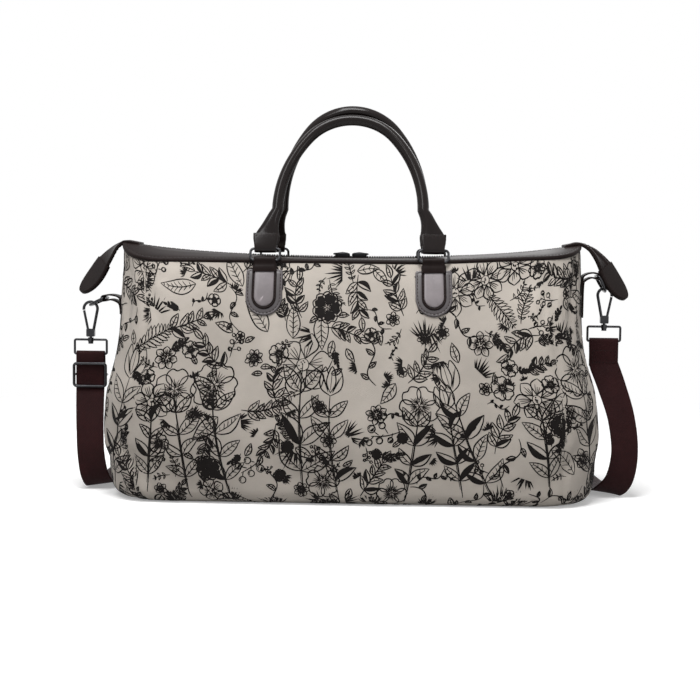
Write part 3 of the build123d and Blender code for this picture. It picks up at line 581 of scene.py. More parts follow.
def grain_group():
    """Group: pebbled leather with fine creases."""
    group, start, end = new_group(
        "leather_grain", (("Vector", "Vector", None), ("Scale", "Float", 900.0)),
        (("Height", "Float", None), ("Patches", "Float", None)),
    )
    cells = node(group, "ShaderNodeTexVoronoi", feature="SMOOTH_F1")
    fine = node(group, "ShaderNodeTexNoise", inputs={"Detail": 6.0, "Roughness": 0.6})
    broad = node(group, "ShaderNodeTexNoise", inputs={"Scale": 26.0, "Detail": 4.0})
    for texture in (cells, fine, broad):
        group.links.new(start.outputs["Vector"], texture.inputs["Vector"])
    group.links.new(start.outputs["Scale"], cells.inputs["Scale"])
    group.links.new(math_node(group, "MULTIPLY", start.outputs["Scale"], 0.45), fine.inputs["Scale"])
    pebble = math_node(group, "SUBTRACT", 1.0, cells.outputs["Distance"])
    both = math_node(group, "ADD", pebble, math_node(group, "MULTIPLY", fine.outputs[0], 0.7))
    group.links.new(both, end.inputs["Height"])
    group.links.new(broad.outputs[0], end.inputs["Patches"])


def weave_group():
    """Group: plain weave of crossing threads, laid out by pattern coordinates."""
    group, start, end = new_group(
        "thread_weave", (("Warp", "Float", 1100.0), ("Weft", "Float", 1300.0), ("Slub", "Float", 0.5)),
        (("Height", "Float", None), ("Threads", "Float", None)),
    )
    pattern = node(group, "ShaderNodeUVMap", uv_map="pattern")
    split = group.nodes.new("ShaderNodeSeparateXYZ")
    group.links.new(pattern.outputs[0], split.inputs[0])
    slub = node(group, "ShaderNodeTexNoise", inputs={"Scale": 160.0, "Detail": 3.0})
    stretch = group.nodes.new("ShaderNodeMapping")
    stretch.inputs["Scale"].default_value = (1.0, 9.0, 1.0)
    group.links.new(pattern.outputs[0], stretch.inputs["Vector"])
    group.links.new(stretch.outputs[0], slub.inputs["Vector"])
    uneven = math_node(group, "MULTIPLY", math_node(group, "SUBTRACT", slub.outputs[0], 0.5),
                       start.outputs["Slub"])
    waves = []
    for axis, count in ((0, "Warp"), (1, "Weft")):
        turn = math_node(group, "MULTIPLY", split.outputs[axis], start.outputs[count])
        turn = math_node(group, "MULTIPLY", math_node(group, "ADD", turn, uneven), 2 * math.pi)
        waves.append(math_node(group, "SINE", turn))
    crossing = math_node(group, "MULTIPLY", waves[0], waves[1])
    level = math_node(group, "ADD", math_node(group, "MULTIPLY", crossing, 0.5), 0.5)
    group.links.new(level, end.inputs["Height"])
    group.links.new(math_node(group, "ADD", level, uneven), end.inputs["Threads"])


def wear_group():
    """Group: rubbed edges and raised places, broken up by noise."""
    group, start, end = new_group(
        "edge_wear", (("Vector", "Vector", None), ("Amount", "Float", 6.0)), (("Mask", "Float", None),),
    )
    shape = group.nodes.new("ShaderNodeNewGeometry")
    speckle = node(group, "ShaderNodeTexNoise", inputs={"Scale": 220.0, "Detail": 5.0})
    group.links.new(start.outputs["Vector"], speckle.inputs["Vector"])
    edge = math_node(group, "SUBTRACT", shape.outputs["Pointiness"], 0.52)
    edge = math_node(group, "MULTIPLY", edge, start.outputs["Amount"])
    edge = math_node(group, "MULTIPLY", edge, speckle.outputs[0])
    clamp = node(group, "ShaderNodeClamp")
    group.links.new(edge, clamp.inputs[0])
    group.links.new(clamp.outputs[0], end.inputs["Mask"])


def mottle_group():
    """Group: soft blotches that vary a colour over the surface."""
    group, start, end = new_group(
        "soft_mottle",
        (("Vector", "Vector", None), ("Scale", "Float", 12.0), ("Light", "Color", (1, 1, 1, 1)),
         ("Dark", "Color", (0.5, 0.5, 0.5, 1))),
        (("Color", "Color", None), ("Mask", "Float", None)),
    )
    blotch = node(group, "ShaderNodeTexNoise", inputs={"Detail": 5.0, "Roughness": 0.62})
    group.links.new(start.outputs["Vector"], blotch.inputs["Vector"])
    group.links.new(start.outputs["Scale"], blotch.inputs["Scale"])
    spread = node(group, "ShaderNodeMapRange", inputs={"From Min": 0.3, "From Max": 0.7})
    group.links.new(blotch.outputs[0], spread.inputs["Value"])
    mixed = colour_mix(group, spread.outputs[0], start.outputs["Dark"], start.outputs["Light"])
    group.links.new(mixed, end.inputs["Color"])
    group.links.new(spread.outputs[0], end.inputs["Mask"])


def placed_group(tree, name, place=None, **values):
    """A shared group in a material, with its own values and, where it takes them, coordinates."""
    made = tree.nodes.new("ShaderNodeGroup")
    made.node_tree = bpy.data.node_groups[name]
    for key, value in values.items():
        made.inputs[key].default_value = value
    if place is not None:
        tree.links.new(place, made.inputs["Vector"])
    return made


def new_material(name, roughness=0.5, metallic=0.0, specular=0.5, coat=0.0, coat_roughness=0.1, sheen=0.0):
    """Material with a Principled shader, and its tree, shader and object coordinates."""
    material = bpy.data.materials.new(FINISH + name)
    material.use_nodes = True
    tree = material.node_tree
    shader = tree.nodes["Principled BSDF"]
    shader.inputs["Roughness"].default_value = roughness
    shader.inputs["Metallic"].default_value = metallic
    shader.inputs["Specular IOR Level"].default_value = specular
    shader.inputs["Coat Weight"].default_value = coat
    shader.inputs["Coat Roughness"].default_value = coat_roughness
    shader.inputs["Sheen Weight"].default_value = sheen
    place = tree.nodes.new("ShaderNodeTexCoord")
    return tree, shader, place.outputs["Object"]


def bump(tree, shader, height, distance, strength=1.0):
    """Feeds a height to the shader's normal through a Bump node."""
    made = node(tree, "ShaderNodeBump", inputs={"Distance": distance, "Strength": strength})
    tree.links.new(height, made.inputs["Height"])
    tree.links.new(made.outputs[0], shader.inputs["Normal"])


def roughness_from(tree, shader, mask, low, high):
    """Spreads the shader's roughness between two values by a mask."""
    spread = node(tree, "ShaderNodeMapRange", inputs={"To Min": low, "To Max": high})
    tree.links.new(mask, spread.inputs["Value"])
    tree.links.new(spread.outputs[0], shader.inputs["Roughness"])


def toned(colour, share):
    """The colour with every part multiplied by share."""
    return tuple(c * share for c in colour)


def mottled(tree, place, colour, scale, light, dark):
    """Blotches between a lighter and a darker tone of a colour."""
    tones = {"Light": (*toned(colour, light), 1), "Dark": (*toned(colour, dark), 1)}
    return placed_group(tree, "soft_mottle", place, Scale=scale, **tones)


def thread_gaps(tree, weave, low, high, most):
    """Share of shade between the threads of a weave, from most in the gaps to none on a thread."""
    limits = {"From Min": low, "From Max": high, "To Min": most, "To Max": 0.0}
    spread = node(tree, "ShaderNodeMapRange", inputs=limits)
    tree.links.new(weave.outputs["Threads"], spread.inputs["Value"])
    return spread.outputs[0]


def fabric_material(name, colour):
    """Soft woven ground with slubs, uneven dye and a fine nap."""
    tree, shader, place = new_material(name, roughness=0.85, specular=0.25, sheen=0.15)
    mottle = mottled(tree, place, colour, 9.0, 1.1, 0.76)
    weave = placed_group(tree, "thread_weave", Warp=950.0, Weft=1150.0, Slub=0.6)
    # Painted shade: the ground colour darkens between the threads of the weave.
    gap_shade = thread_gaps(tree, weave, 0.1, 0.9, 0.32)
    thread = colour_mix(tree, gap_shade, mottle.outputs["Color"], toned(colour, 0.66))
    tree.links.new(thread, shader.inputs["Base Color"])
    roughness_from(tree, shader, mottle.outputs["Mask"], 0.78, 0.92)
    bump(tree, shader, weave.outputs["Height"], 0.25 * MM, 0.7)


def ink_material(colour):
    """Raised black threads of the print."""
    tree, shader, place = new_material("print_ink", roughness=0.7, specular=0.12)
    mottle = mottled(tree, place, colour, 420.0, 1.8, 1.0)
    grain = placed_group(tree, "leather_grain", place, Scale=1400.0)
    tree.links.new(mottle.outputs["Color"], shader.inputs["Base Color"])
    roughness_from(tree, shader, mottle.outputs["Mask"], 0.62, 0.85)
    bump(tree, shader, grain.outputs["Height"], 0.12 * MM, 0.6)


def leather_material(name, colour, low, high, coat, grain_depth=0.06 * MM, scale=900.0, specular=0.05):
    """Smooth finished leather with fine grain, uneven gloss and rubbed edges."""
    tree, shader, place = new_material(name, specular=specular, coat=coat, coat_roughness=0.12)
    mottle = mottled(tree, place, colour, 30.0, 1.25, 0.8)
    grain = placed_group(tree, "leather_grain", place, Scale=scale)
    wear = placed_group(tree, "edge_wear", place, Amount=7.0)
    rubbed = colour_mix(tree, wear.outputs["Mask"], mottle.outputs["Color"], toned(colour, 2.6))
    tree.links.new(rubbed, shader.inputs["Base Color"])
    roughness_from(tree, shader, grain.outputs["Patches"], low, high)
    bump(tree, shader, grain.outputs["Height"], grain_depth, 0.8)


def webbing_material(colour):
    """Ribbed webbing: rows of slanting threads and a woven edge."""
    tree, shader, place = new_material("webbing", roughness=0.5, specular=0.07, sheen=0.02)
    mottle = mottled(tree, place, colour, 55.0, 1.3, 0.8)
    weave = placed_group(tree, "thread_weave", Warp=620.0, Weft=400.0, Slub=0.35)
    # Painted shade: the webbing's colour darkens between its threads.
    gap_shade = thread_gaps(tree, weave, 0.0, 0.8, 0.55)
    shaded = colour_mix(tree, gap_shade, mottle.outputs["Color"], toned(colour, 0.35))
    tree.links.new(shaded, shader.inputs["Base Color"])
    roughness_from(tree, shader, weave.outputs["Height"], 0.6, 0.42)
    bump(tree, shader, weave.outputs["Height"], 0.35 * MM, 0.9)


def tape_material(colour):
    """Fine woven zip tape."""
    tree, shader, place = new_material("zip_tape", roughness=0.7, specular=0.1)
    mottle = mottled(tree, place, colour, 70.0, 1.5, 1.0)
    weave = placed_group(tree, "thread_weave", Warp=1400.0, Weft=900.0, Slub=0.3)
    tree.links.new(mottle.outputs["Color"], shader.inputs["Base Color"])
    roughness_from(tree, shader, weave.outputs["Height"], 0.8, 0.55)
    bump(tree, shader, weave.outputs["Height"], 0.15 * MM, 0.8)


def metal_material(name, colour, low, high):
    """Plated metal with faint scuffs and brighter rubbed edges."""
    tree, shader, place = new_material(name, metallic=1.0, roughness=low)
    mottle = mottled(tree, place, colour, 90.0, 1.2, 0.75)
    wear = placed_group(tree, "edge_wear", place, Amount=5.0)
    grain = placed_group(tree, "leather_grain", place, Scale=2600.0)
    bright = colour_mix(tree, wear.outputs["Mask"], mottle.outputs["Color"], toned(colour, 2.0))
    tree.links.new(bright, shader.inputs["Base Color"])
    roughness_from(tree, shader, mottle.outputs["Mask"], low, high)
    bump(tree, shader, grain.outputs["Height"], 0.015 * MM, 0.5)


class BAG_OT_finishes(bpy.types.Operator):
    """Make the shared shader groups and every material of the bag"""

    bl_idname = "bag.finishes"
    bl_label = "Finishes"

    def execute(self, context):
        colours = context.scene.bag_colours
        grain_group()
        weave_group()
        wear_group()
        mottle_group()
        leather, facing = tuple(colours.leather), tuple(colours.facing)
        fabric_material("printed_fabric", tuple(colours.fabric))
        ink_material(tuple(colours.ink))
        leather_material("leather", leather, 0.34, 0.5, 0.02)
        leather_material("handle_leather", toned(leather, 0.75), 0.16, 0.28, 0.2, 0.03 * MM, 700.0, 0.08)
        # The facing's colour is painted reflection: the gloss of dark leather, painted in as pale grey.
        leather_material("facing_leather", facing, 0.3, 0.46, 0.15, specular=0.3)
        # Painted sheen: the patch's mid grey is the facing's painted reflection, darkened, over what is dark
        # brown leather.
        leather_material("patch_leather", toned(facing, 0.42), 0.3, 0.46, 0.12, specular=0.25)
        leather_material("thread", toned(leather, 1.5), 0.5, 0.65, 0.0, 0.05 * MM, 3000.0)
        leather_material("edge_paint", toned(leather, 0.45), 0.3, 0.4, 0.3)
        webbing_material(tuple(colours.webbing))
        tape_material(toned(leather, 0.45))
        metal_material("gunmetal", tuple(colours.metal), 0.16, 0.3)
        metal_material("dark_metal", toned(tuple(colours.metal), 0.3), 0.25, 0.4)
        leather_material("zip_teeth", toned(leather, 0.5), 0.3, 0.45, 0.2, 0.02 * MM)
        return {"FINISHED"}


class BAG_OT_fabric_body(bpy.types.Operator):
    """Make the folded fabric body with its flat underside"""

    bl_idname = "bag.fabric_body"
    bl_label = "Fabric body"

    def execute(self, context):
        columns, wall_rows, round_rows = 384, 66, 7
        places = (np.arange(columns) / columns - 0.5) * GIRTH
        rounded = np.linspace(0, BOTTOM_ARC, round_rows, endpoint=False)
        ups = np.concatenate([rounded, np.linspace(BOTTOM_ARC, WALL_HEIGHT, wall_rows)])
        grid_place, grid_up = np.meshgrid(places, ups)
        points, _ = body_surface(grid_place, grid_up)
        points[:, :, 2] = np.maximum(points[:, :, 2], 0)
        draft = Draft()
        faces = tube_faces(len(ups), columns)[:-1]
        pattern = np.stack([grid_place, grid_up], axis=-1).reshape(-1, 2)
        draft.add(points.reshape(-1, 3), faces, [tuple(p) for p in pattern])
        body = make_piece(draft, "fabric_body", "root", "printed_fabric")
        self.close_pattern(body.data, columns)
        shell = body.modifiers.new("thickness", "SOLIDIFY")
        shell.thickness = SHELL_THICKNESS
        shell.offset = -1
        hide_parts("front_panel", "back_panel", "left_gusset", "right_gusset", "bottom_panel")
        return {"FINISHED"}

    def close_pattern(self, mesh, columns):
        """Carries the pattern coordinates over the back's middle without a jump."""
        layer = mesh.uv_layers["pattern"].data
        for polygon in mesh.polygons:
            if len(polygon.vertices) > 4:
                continue
            across = [layer[i].uv[0] for i in polygon.loop_indices]
            if max(across) - min(across) > GIRTH / 2:
                for i in polygon.loop_indices:
                    if layer[i].uv[0] < 0:
                        layer[i].uv[0] += GIRTH


# The print: pen lines and filled shapes on the flat pattern, in millimetres
SHAKE = 0.16


class Pen:
    """Collects pen lines and fills. A motif draws about (0, 0) and is then moved into place."""

    def __init__(self, seed):
        self.pick = random.Random(seed)
        self.lines = []
        self.fills = []
        self.frames = [(0.0, 0.0, 0.0, 1.0)]

    def placed(self, points):
        """Points moved by the frame in force."""
        x, y, angle, size = self.frames[-1]
        c, s = math.cos(angle) * size, math.sin(angle) * size
        return [(x + px * c - py * s, y + px * s + py * c) for px, py in points]

    def enter(self, x, y, angle):
        """Starts a frame within the present one."""
        _, _, turned, size = self.frames[-1]
        (nx, ny), = self.placed([(x, y)])
        self.frames.append((nx, ny, turned + angle, size))

    def leave(self):
        """Ends the frame that was started last."""
        self.frames.pop()

    def line(self, points, weight=1.0):
        """One pen line with a little shake."""
        shake = self.pick.uniform
        shaken = [(x + shake(-SHAKE, SHAKE), y + shake(-SHAKE, SHAKE)) for x, y in self.placed(points)]
        self.lines.append((shaken, weight * self.pick.uniform(0.85, 1.15)))

    def fill(self, points):
        """One filled shape."""
        self.fills.append(self.placed(points))


def arc_points(x, y, radius, first, last, count=10):
    """Points along an arc."""
    return [
        (x + radius * math.cos(first + (last - first) * i / count),
         y + radius * math.sin(first + (last - first) * i / count))
        for i in range(count + 1)
    ]


def leaf_edge(length, width, bend, side, steps=9, tip=0.8):
    """One edge of a leaf, from its foot to its tip."""
    points = []
    for i in range(steps + 1):
        t = i / steps
        half = width / 2 * math.sin(math.pi * t**tip)
        points.append((length * t, bend * math.sin(math.pi * t) + side * half))
    return points


def draw_leaf(pen, length, width, style="veins"):
    """Leaf with a midrib, and veins, hatching or a dark half."""
    bend = pen.pick.uniform(-0.12, 0.12) * length
    for side in (-1, 1):
        pen.line(leaf_edge(length, width, bend, side))
    middle = leaf_edge(length, 0, bend, 0, 6)
    pen.line(middle[:-1], 0.85)
    if style == "dark":
        upper = leaf_edge(length, width, bend, 1, 8)
        pen.fill(upper + leaf_edge(length, 0, bend, 0, 8)[::-1])
        return
    count = max(3, int(length / 4.5))
    for i in range(1, count):
        t = i / count
        x, y = length * t, bend * math.sin(math.pi * t)
        half = width / 2 * math.sin(math.pi * t**0.8)
        for side in (-1, 1):
            if style == "half" and side < 0:
                continue
            reach = half * pen.pick.uniform(0.6, 0.85)
            vein = [(x, y), (x + reach * 0.55, y + side * reach * 0.55), (x + reach * 0.8, y + side * reach)]
            pen.line(vein, 0.65)


def draw_sprig(pen, length, pairs=4, leaf=12.0):
    """Stem with paired leaves and one at its tip."""
    bend = pen.pick.uniform(-0.18, 0.18) * length
    stem = [(length * i / 8, bend * math.sin(math.pi * i / 8)) for i in range(9)]
    pen.line(stem, 0.95)
    for i in range(pairs):
        t = (i + 0.8) / (pairs + 0.6)
        x, y = length * t, bend * math.sin(math.pi * t)
        for side in (-1, 1):
            pen.enter(x, y, side * pen.pick.uniform(0.6, 0.95))
            size = leaf * linear_blend(1.0, 0.7, t) * pen.pick.uniform(0.85, 1.1)
            style = pen.pick.choice(["half", "veins", "dark"]) if size > 9 else "half"
            draw_leaf(pen, size, size * 0.42, style)
            pen.leave()
    pen.enter(length, 0, 0)
    draw_leaf(pen, leaf * 0.9, leaf * 0.36, "half")
    pen.leave()


def draw_fern(pen, length):
    """Fern frond: short leaflets that shrink to the tip."""
    bend = pen.pick.uniform(-0.2, 0.2) * length
    pen.line([(length * i / 8, bend * math.sin(math.pi * i / 8)) for i in range(9)], 0.9)
    count = int(length / 4.2)
    for i in range(1, count):
        t = i / count
        x, y = length * t, bend * math.sin(math.pi * t)
        reach = 0.26 * length * math.sin(math.pi * (0.12 + 0.85 * t)) * pen.pick.uniform(0.85, 1.1)
        for side in (-1, 1):
            pen.enter(x, y, side * 0.95)
            pen.line(leaf_edge(reach, reach * 0.32, 0, 1, 4), 0.75)
            pen.line(leaf_edge(reach, reach * 0.32, 0, -1, 4), 0.75)
            pen.leave()


DAISY_HEART = 0.2


def draw_daisy(pen, radius, petals, dark=False):
    """Open flower with long petals, creases and a dotted middle."""
    start = pen.pick.uniform(0, 1)
    heart = radius * DAISY_HEART
    for i in range(petals):
        pen.enter(0, 0, 2 * math.pi * (i + start) / petals)
        reach = radius * pen.pick.uniform(0.86, 1.06) - heart
        wide = 2 * math.pi * radius / petals * 0.62
        pen.enter(heart, 0, pen.pick.uniform(-0.08, 0.08))
        for side in (-1, 1):
            pen.line(leaf_edge(reach, wide, 0, side, 8, 1.25))
        if dark and i % 2:
            upper, lower = (leaf_edge(reach * 0.72, wide * 0.6, 0, side, 6, 1.2) for side in (1, -1))
            pen.fill(upper + lower[::-1])
        else:
            for shift in (-0.16, 0.0, 0.17):
                end = pen.pick.uniform(0.45, 0.75)
                pen.line([(0, 0), (reach * end * 0.5, wide * shift * 0.8), (reach * end, wide * shift)], 0.6)
        pen.leave()
        pen.leave()
    pen.line(arc_points(0, 0, heart, 0, 2 * math.pi, 10), 0.9)
    for _ in range(7):
        angle, out = pen.pick.uniform(0, 2 * math.pi), pen.pick.uniform(0, heart * 0.7)
        x, y = out * math.cos(angle), out * math.sin(angle)
        pen.fill(arc_points(x, y, 0.8, 0, 2 * math.pi * 5 / 6, 5))


def draw_blossom(pen, radius, dark=False):
    """Five broad petals with notched tips and stamens."""
    start = pen.pick.uniform(0, 1)
    for i in range(5):
        pen.enter(0, 0, 2 * math.pi * (i + start) / 5)
        wide = radius * 0.5
        edge = [
            (radius * 0.14, 0), (radius * 0.4, wide * 0.85), (radius * 0.74, wide * 1.02),
            (radius * 0.98, wide * 0.55), (radius * 0.9, wide * 0.08), (radius * 1.0, -wide * 0.42),
            (radius * 0.76, -wide * 1.0), (radius * 0.42, -wide * 0.86), (radius * 0.14, 0),
        ]
        pen.line(edge)
        if dark:
            pen.fill([(x * 0.86 + radius * 0.05, y * 0.8) for x, y in edge[:-1]])
        else:
            for angle in (-0.5, -0.25, 0, 0.22, 0.46):
                end = radius * pen.pick.uniform(0.42, 0.66)
                pen.line([(radius * 0.16, 0), (end * math.cos(angle * 0.7), end * math.sin(angle))], 0.6)
        pen.leave()
    for i in range(6):
        angle = math.pi * 2 * i / 6 + start
        x, y = radius * 0.26 * math.cos(angle), radius * 0.26 * math.sin(angle)
        pen.line([(0, 0), (x, y)], 0.7)
        pen.fill(arc_points(x, y, 0.9, 0, 2 * math.pi * 5 / 6, 5))


def scaled(points, size, side=1):
    """Points of a shape drawn at size one, made larger and, with side -1, mirrored."""
    return [(size * x, side * size * y) for x, y in points]


def draw_tulip(pen, size):
    """Cup-shaped flower seen from the side."""
    for side in (-1, 1):
        pen.line(scaled([(0, 0), (0.22, 0.34), (0.6, 0.42), (1, 0.26), (0.72, 0.12)], size, side))
        for reach in (0.5, 0.62, 0.74):
            pen.line(scaled([(0.12, 0.08), (reach, (reach - 0.28) * 0.8)], size, side), 0.6)
    pen.line(scaled([(0.1, 0), (0.5, 0.17), (1.02, 0), (0.5, -0.17), (0.1, 0)], size))
    pen.line(scaled([(0.2, 0), (0.85, 0)], size), 0.6)


def draw_berries(pen, size):
    """Sprig of round berries on short stems."""
    pen.line([(0, 0), (size * 0.5, size * 0.06), (size, 0)], 0.9)
    for i in range(5):
        t = 0.3 + 0.7 * i / 4
        side = -1 if i % 2 else 1
        radius = size * 0.11 * pen.pick.uniform(0.85, 1.15)
        x, y = size * t + radius, side * size * pen.pick.uniform(0.16, 0.3)
        pen.line([(size * t * 0.9, 0), (x - radius * 0.6, y - side * radius * 0.8)], 0.8)
        pen.line(arc_points(x, y, radius, 0, 2 * math.pi, 12))
        pen.line(arc_points(x, y, radius * 0.65, -1.9, 0.4, 6), 0.7)
        if i % 3 == 0:
            pen.fill(arc_points(x, y, radius * 0.7, 0.6, 3.6, 8))


def draw_grass(pen, size, blades=11):
    """Dark tuft of tapering blades."""
    for i in range(blades):
        lean = linear_blend(-0.9, 0.9, i / (blades - 1)) + pen.pick.uniform(-0.12, 0.12)
        tall = size * pen.pick.uniform(0.6, 1.0) * (1 - 0.35 * abs(lean))
        foot = lean * size * 0.35
        tip = (tall * math.cos(lean), foot + tall * math.sin(lean) * 0.8)
        middle, rise = tip[0] * 0.5, (foot + tip[1]) / 2
        pen.fill([(0, foot - 1.1), (middle, rise - 0.9), tip, (middle, rise + 0.9), (0, foot + 1.1)])


def draw_scroll(pen, length):
    """Winding tendril with small leaves."""
    points = [(length * t / 14, math.sin(t / 14 * math.pi * 2.2) * length * 0.12) for t in range(15)]
    pen.line(points, 0.95)
    for i in range(2, 14, 3):
        side = -1 if i % 2 else 1
        pen.enter(*points[i], side * pen.pick.uniform(0.7, 1.2))
        draw_leaf(pen, length * 0.2, length * 0.085, pen.pick.choice(["dark", "half", "veins"]))
        pen.leave()


def draw_plant(pen, height):
    """Upright stem with leaves along it and a flower on top."""
    bend = pen.pick.uniform(-0.2, 0.2) * height
    stem = [(height * i / 10, bend * math.sin(math.pi * 0.5 * i / 10)) for i in range(11)]
    pen.line(stem, 1.1)
    pen.line([(x, y + 1.3) for x, y in stem[1:8]], 0.7)
    for i in range(2, 9, 2):
        for side in (-1, 1):
            pen.enter(*stem[i], side * pen.pick.uniform(0.55, 0.95))
            size = height * pen.pick.uniform(0.2, 0.3)
            draw_leaf(pen, size, size * 0.4, pen.pick.choice(["veins", "half", "dark", "veins"]))
            pen.leave()
    pen.enter(*stem[-1], 0)
    pen.pick.choice([
        lambda: draw_daisy(pen, height * 0.24, pen.pick.randint(6, 9)),
        lambda: draw_blossom(pen, height * 0.2),
        lambda: draw_tulip(pen, height * 0.27),
    ])()
    pen.leave()


def centred(draw, pen, reach, *shape):
    """Draws a motif that starts at its foot so that its middle comes to (0, 0)."""
    pen.enter(-reach, 0, 0)
    draw(pen, *shape)
    pen.leave()


# Motifs of the print: how often each comes, its radius in millimetres and how it is drawn
MOTIFS = (
    (4, 22, lambda pen, r: draw_daisy(pen, r, pen.pick.randint(5, 8), dark=pen.pick.random() < 0.04)),
    (2, 15, lambda pen, r: draw_blossom(pen, r, dark=pen.pick.random() < 0.15)),
    (9, 25, lambda pen, r: centred(draw_sprig, pen, r, 1.6 * r, 4, 0.66 * r)),
    (3, 25, lambda pen, r: centred(draw_fern, pen, r, 2 * r)),
    (2, 17, lambda pen, r: centred(draw_berries, pen, r, 1.6 * r)),
    (4, 17, lambda pen, r: centred(draw_leaf, pen, r, 2 * r, 0.85 * r, "veins")),
    (6, 25, lambda pen, r: centred(draw_scroll, pen, r, 2 * r)),
    (3, 13, lambda pen, r: centred(draw_grass, pen, r, 1.7 * r, 9)),
)
PLANT_SPACING = 50.0
CROWDING = 0.6
TRIES = 900
BARE_PLACES = ((-88, 172, 16), (64, 176, 17), (10, 124, 20))


def draw_print(seed):
    """The whole pattern round the bag: plants along the bottom, then motifs in the room between."""
    pen = Pen(seed)
    taken = [(x, y, r) for x, y, r in BARE_PLACES]
    half_girth, tall = GIRTH / 2 / MM, WALL_HEIGHT / MM
    count = int(2 * half_girth / PLANT_SPACING)
    for i in range(count):
        x = -half_girth + (i + 0.5) * 2 * half_girth / count + pen.pick.uniform(-14, 14)
        height = pen.pick.uniform(88, 132)
        lean = pen.pick.uniform(-0.22, 0.22)
        pen.enter(x, pen.pick.uniform(8, 22), math.pi / 2 + lean)
        draw_plant(pen, height)
        pen.leave()
        for share, radius in ((0.2, 13), (0.5, 18), (0.8, 19), (1.05, 28)):
            taken.append((x - math.sin(lean) * height * share, 14 + height * share, radius))
        pen.enter(x + pen.pick.uniform(22, 40), pen.pick.uniform(6, 14), math.pi / 2)
        draw_grass(pen, pen.pick.uniform(15, 24), pen.pick.randint(8, 13))
        pen.leave()
    weights = [row[0] for row in MOTIFS]
    for size in (1.0, 0.8, 0.62, 0.46, 0.34):
        for _ in range(int(TRIES / size)):
            _, reach, draw = pen.pick.choices(MOTIFS, weights)[0]
            radius = reach * size * pen.pick.uniform(0.9, 1.1)
            x = pen.pick.uniform(-half_girth, half_girth)
            y = pen.pick.uniform(radius * 0.5, tall - radius * 0.35)
            if all((x - a) ** 2 + (y - b) ** 2 > (CROWDING * (radius + c)) ** 2 for a, b, c in taken):
                taken.append((x, y, radius))
                pen.enter(x, y, pen.pick.uniform(0, 2 * math.pi))
                draw(pen, radius)
                pen.leave()
    return pen


def line_places(points, spacing=2.2):
    """Pen line as evenly spaced points with rounded corners."""
    path = curve_through([Vector((x, y, 0)) for x, y in points], 4)
    lengths = np.concatenate([[0], np.cumsum([(b - a).length for a, b in zip(path, path[1:])])])
    count = max(2, int(lengths[-1] / spacing) + 1)
    wanted = np.linspace(0, lengths[-1], count + 1)
    flat = np.array([(p.x, p.y) for p in path])
    return np.stack([np.interp(wanted, lengths, flat[:, i]) for i in range(2)], axis=-1)


PRINT_REGIONS = ("print_front", "print_right", "print_back", "print_left")


def region_of(place):
    """Name of the panel that a place on the flat pattern lies on."""
    limit = SEAM_PLACE / MM
    if abs(place) < limit:
        return "print_front"
    if abs(place) > 2 * QUARTER / MM - limit:
        return "print_back"
    return "print_right" if place > 0 else "print_left"


class BAG_OT_fabric_print(bpy.types.Operator):
    """Lay the botanical line print on the fabric as fine raised threads"""

    bl_idname = "bag.fabric_print"
    bl_label = "Fabric print"

    def execute(self, context):
        sizes = context.scene.bag_sizes
        pen = draw_print(sizes.print_seed)
        drafts = {name: ([], []) for name in PRINT_REGIONS}
        for points, weight in pen.lines:
            flat = line_places(points)
            self.add_line(drafts[region_of(flat[:, 0].mean())], flat, weight * sizes.line_width / MM)
        for shape in pen.fills:
            self.add_fill(drafts[region_of(sum(x for x, _ in shape) / len(shape))], shape)
        for name, (points, faces) in drafts.items():
            flat = np.array(points)
            ups = np.clip(flat[:, 1] * MM, 0.5 * MM, WALL_HEIGHT - 2.5 * MM)
            spots, _ = body_surface(flat[:, 0] * MM, ups, flat[:, 2] * MM)
            spots[:, 2] = np.maximum(spots[:, 2], 0.3 * MM)
            draft = Draft()
            draft.add(spots, faces, [(p[0] * MM, p[1] * MM) for p in points])
            make_piece(draft, name, "root", "print_ink")
        return {"FINISHED"}

    def add_line(self, lump, flat, width):
        """Adds a line that swells in its middle: two edges at the cloth and a raised back."""
        points, faces = lump
        steps = np.gradient(flat, axis=0)
        steps /= np.maximum(np.linalg.norm(steps, axis=1, keepdims=True), 1e-6)
        aside = np.stack([-steps[:, 1], steps[:, 0]], axis=1)
        share = np.linspace(0, 1, len(flat))
        half = width / 2 * (0.45 + 0.55 * np.sin(math.pi * share) ** 0.5)
        start = len(points)
        for spot, turn, reach in zip(flat, aside, half):
            points.append((*(spot + turn * reach), 0.06))
            points.append((*spot, 0.3))
            points.append((*(spot - turn * reach), 0.06))
        for i in range(len(flat) - 1):
            a = start + 3 * i
            faces.append((a, a + 1, a + 4, a + 3))
            faces.append((a + 1, a + 2, a + 5, a + 4))

    def add_fill(self, lump, shape):
        """Adds a filled shape as a low mound."""
        points, faces = lump
        start = len(points)
        middle = (sum(x for x, _ in shape) / len(shape), sum(y for _, y in shape) / len(shape))
        points.append((*middle, 0.36))
        points.extend((x, y, 0.12) for x, y in shape)
        for i in range(len(shape)):
            faces.append((start, start + 1 + i, start + 1 + (i + 1) % len(shape)))


# Mouth of the bag: fabric zip panels, leather strips, zip tape and teeth
def rim_station(place):
    """Rim point at a place on the pattern, and the level direction towards the inside."""
    spots = smooth_body(np.array([place - MM, place, place + MM]), np.full(3, WALL_HEIGHT))
    along = unit(Vector((spots[2][0] - spots[0][0], spots[2][1] - spots[0][1], 0)))
    return Vector(spots[1]), Vector((-along.y, along.x, 0))


def strip_reach(rim, inward):
    """Distance from the rim to the edge of the zip gap, along inward."""
    gap = abs(rim.y) - 8 * MM
    return min(gap / max(abs(inward.y), 0.05), 40 * MM)


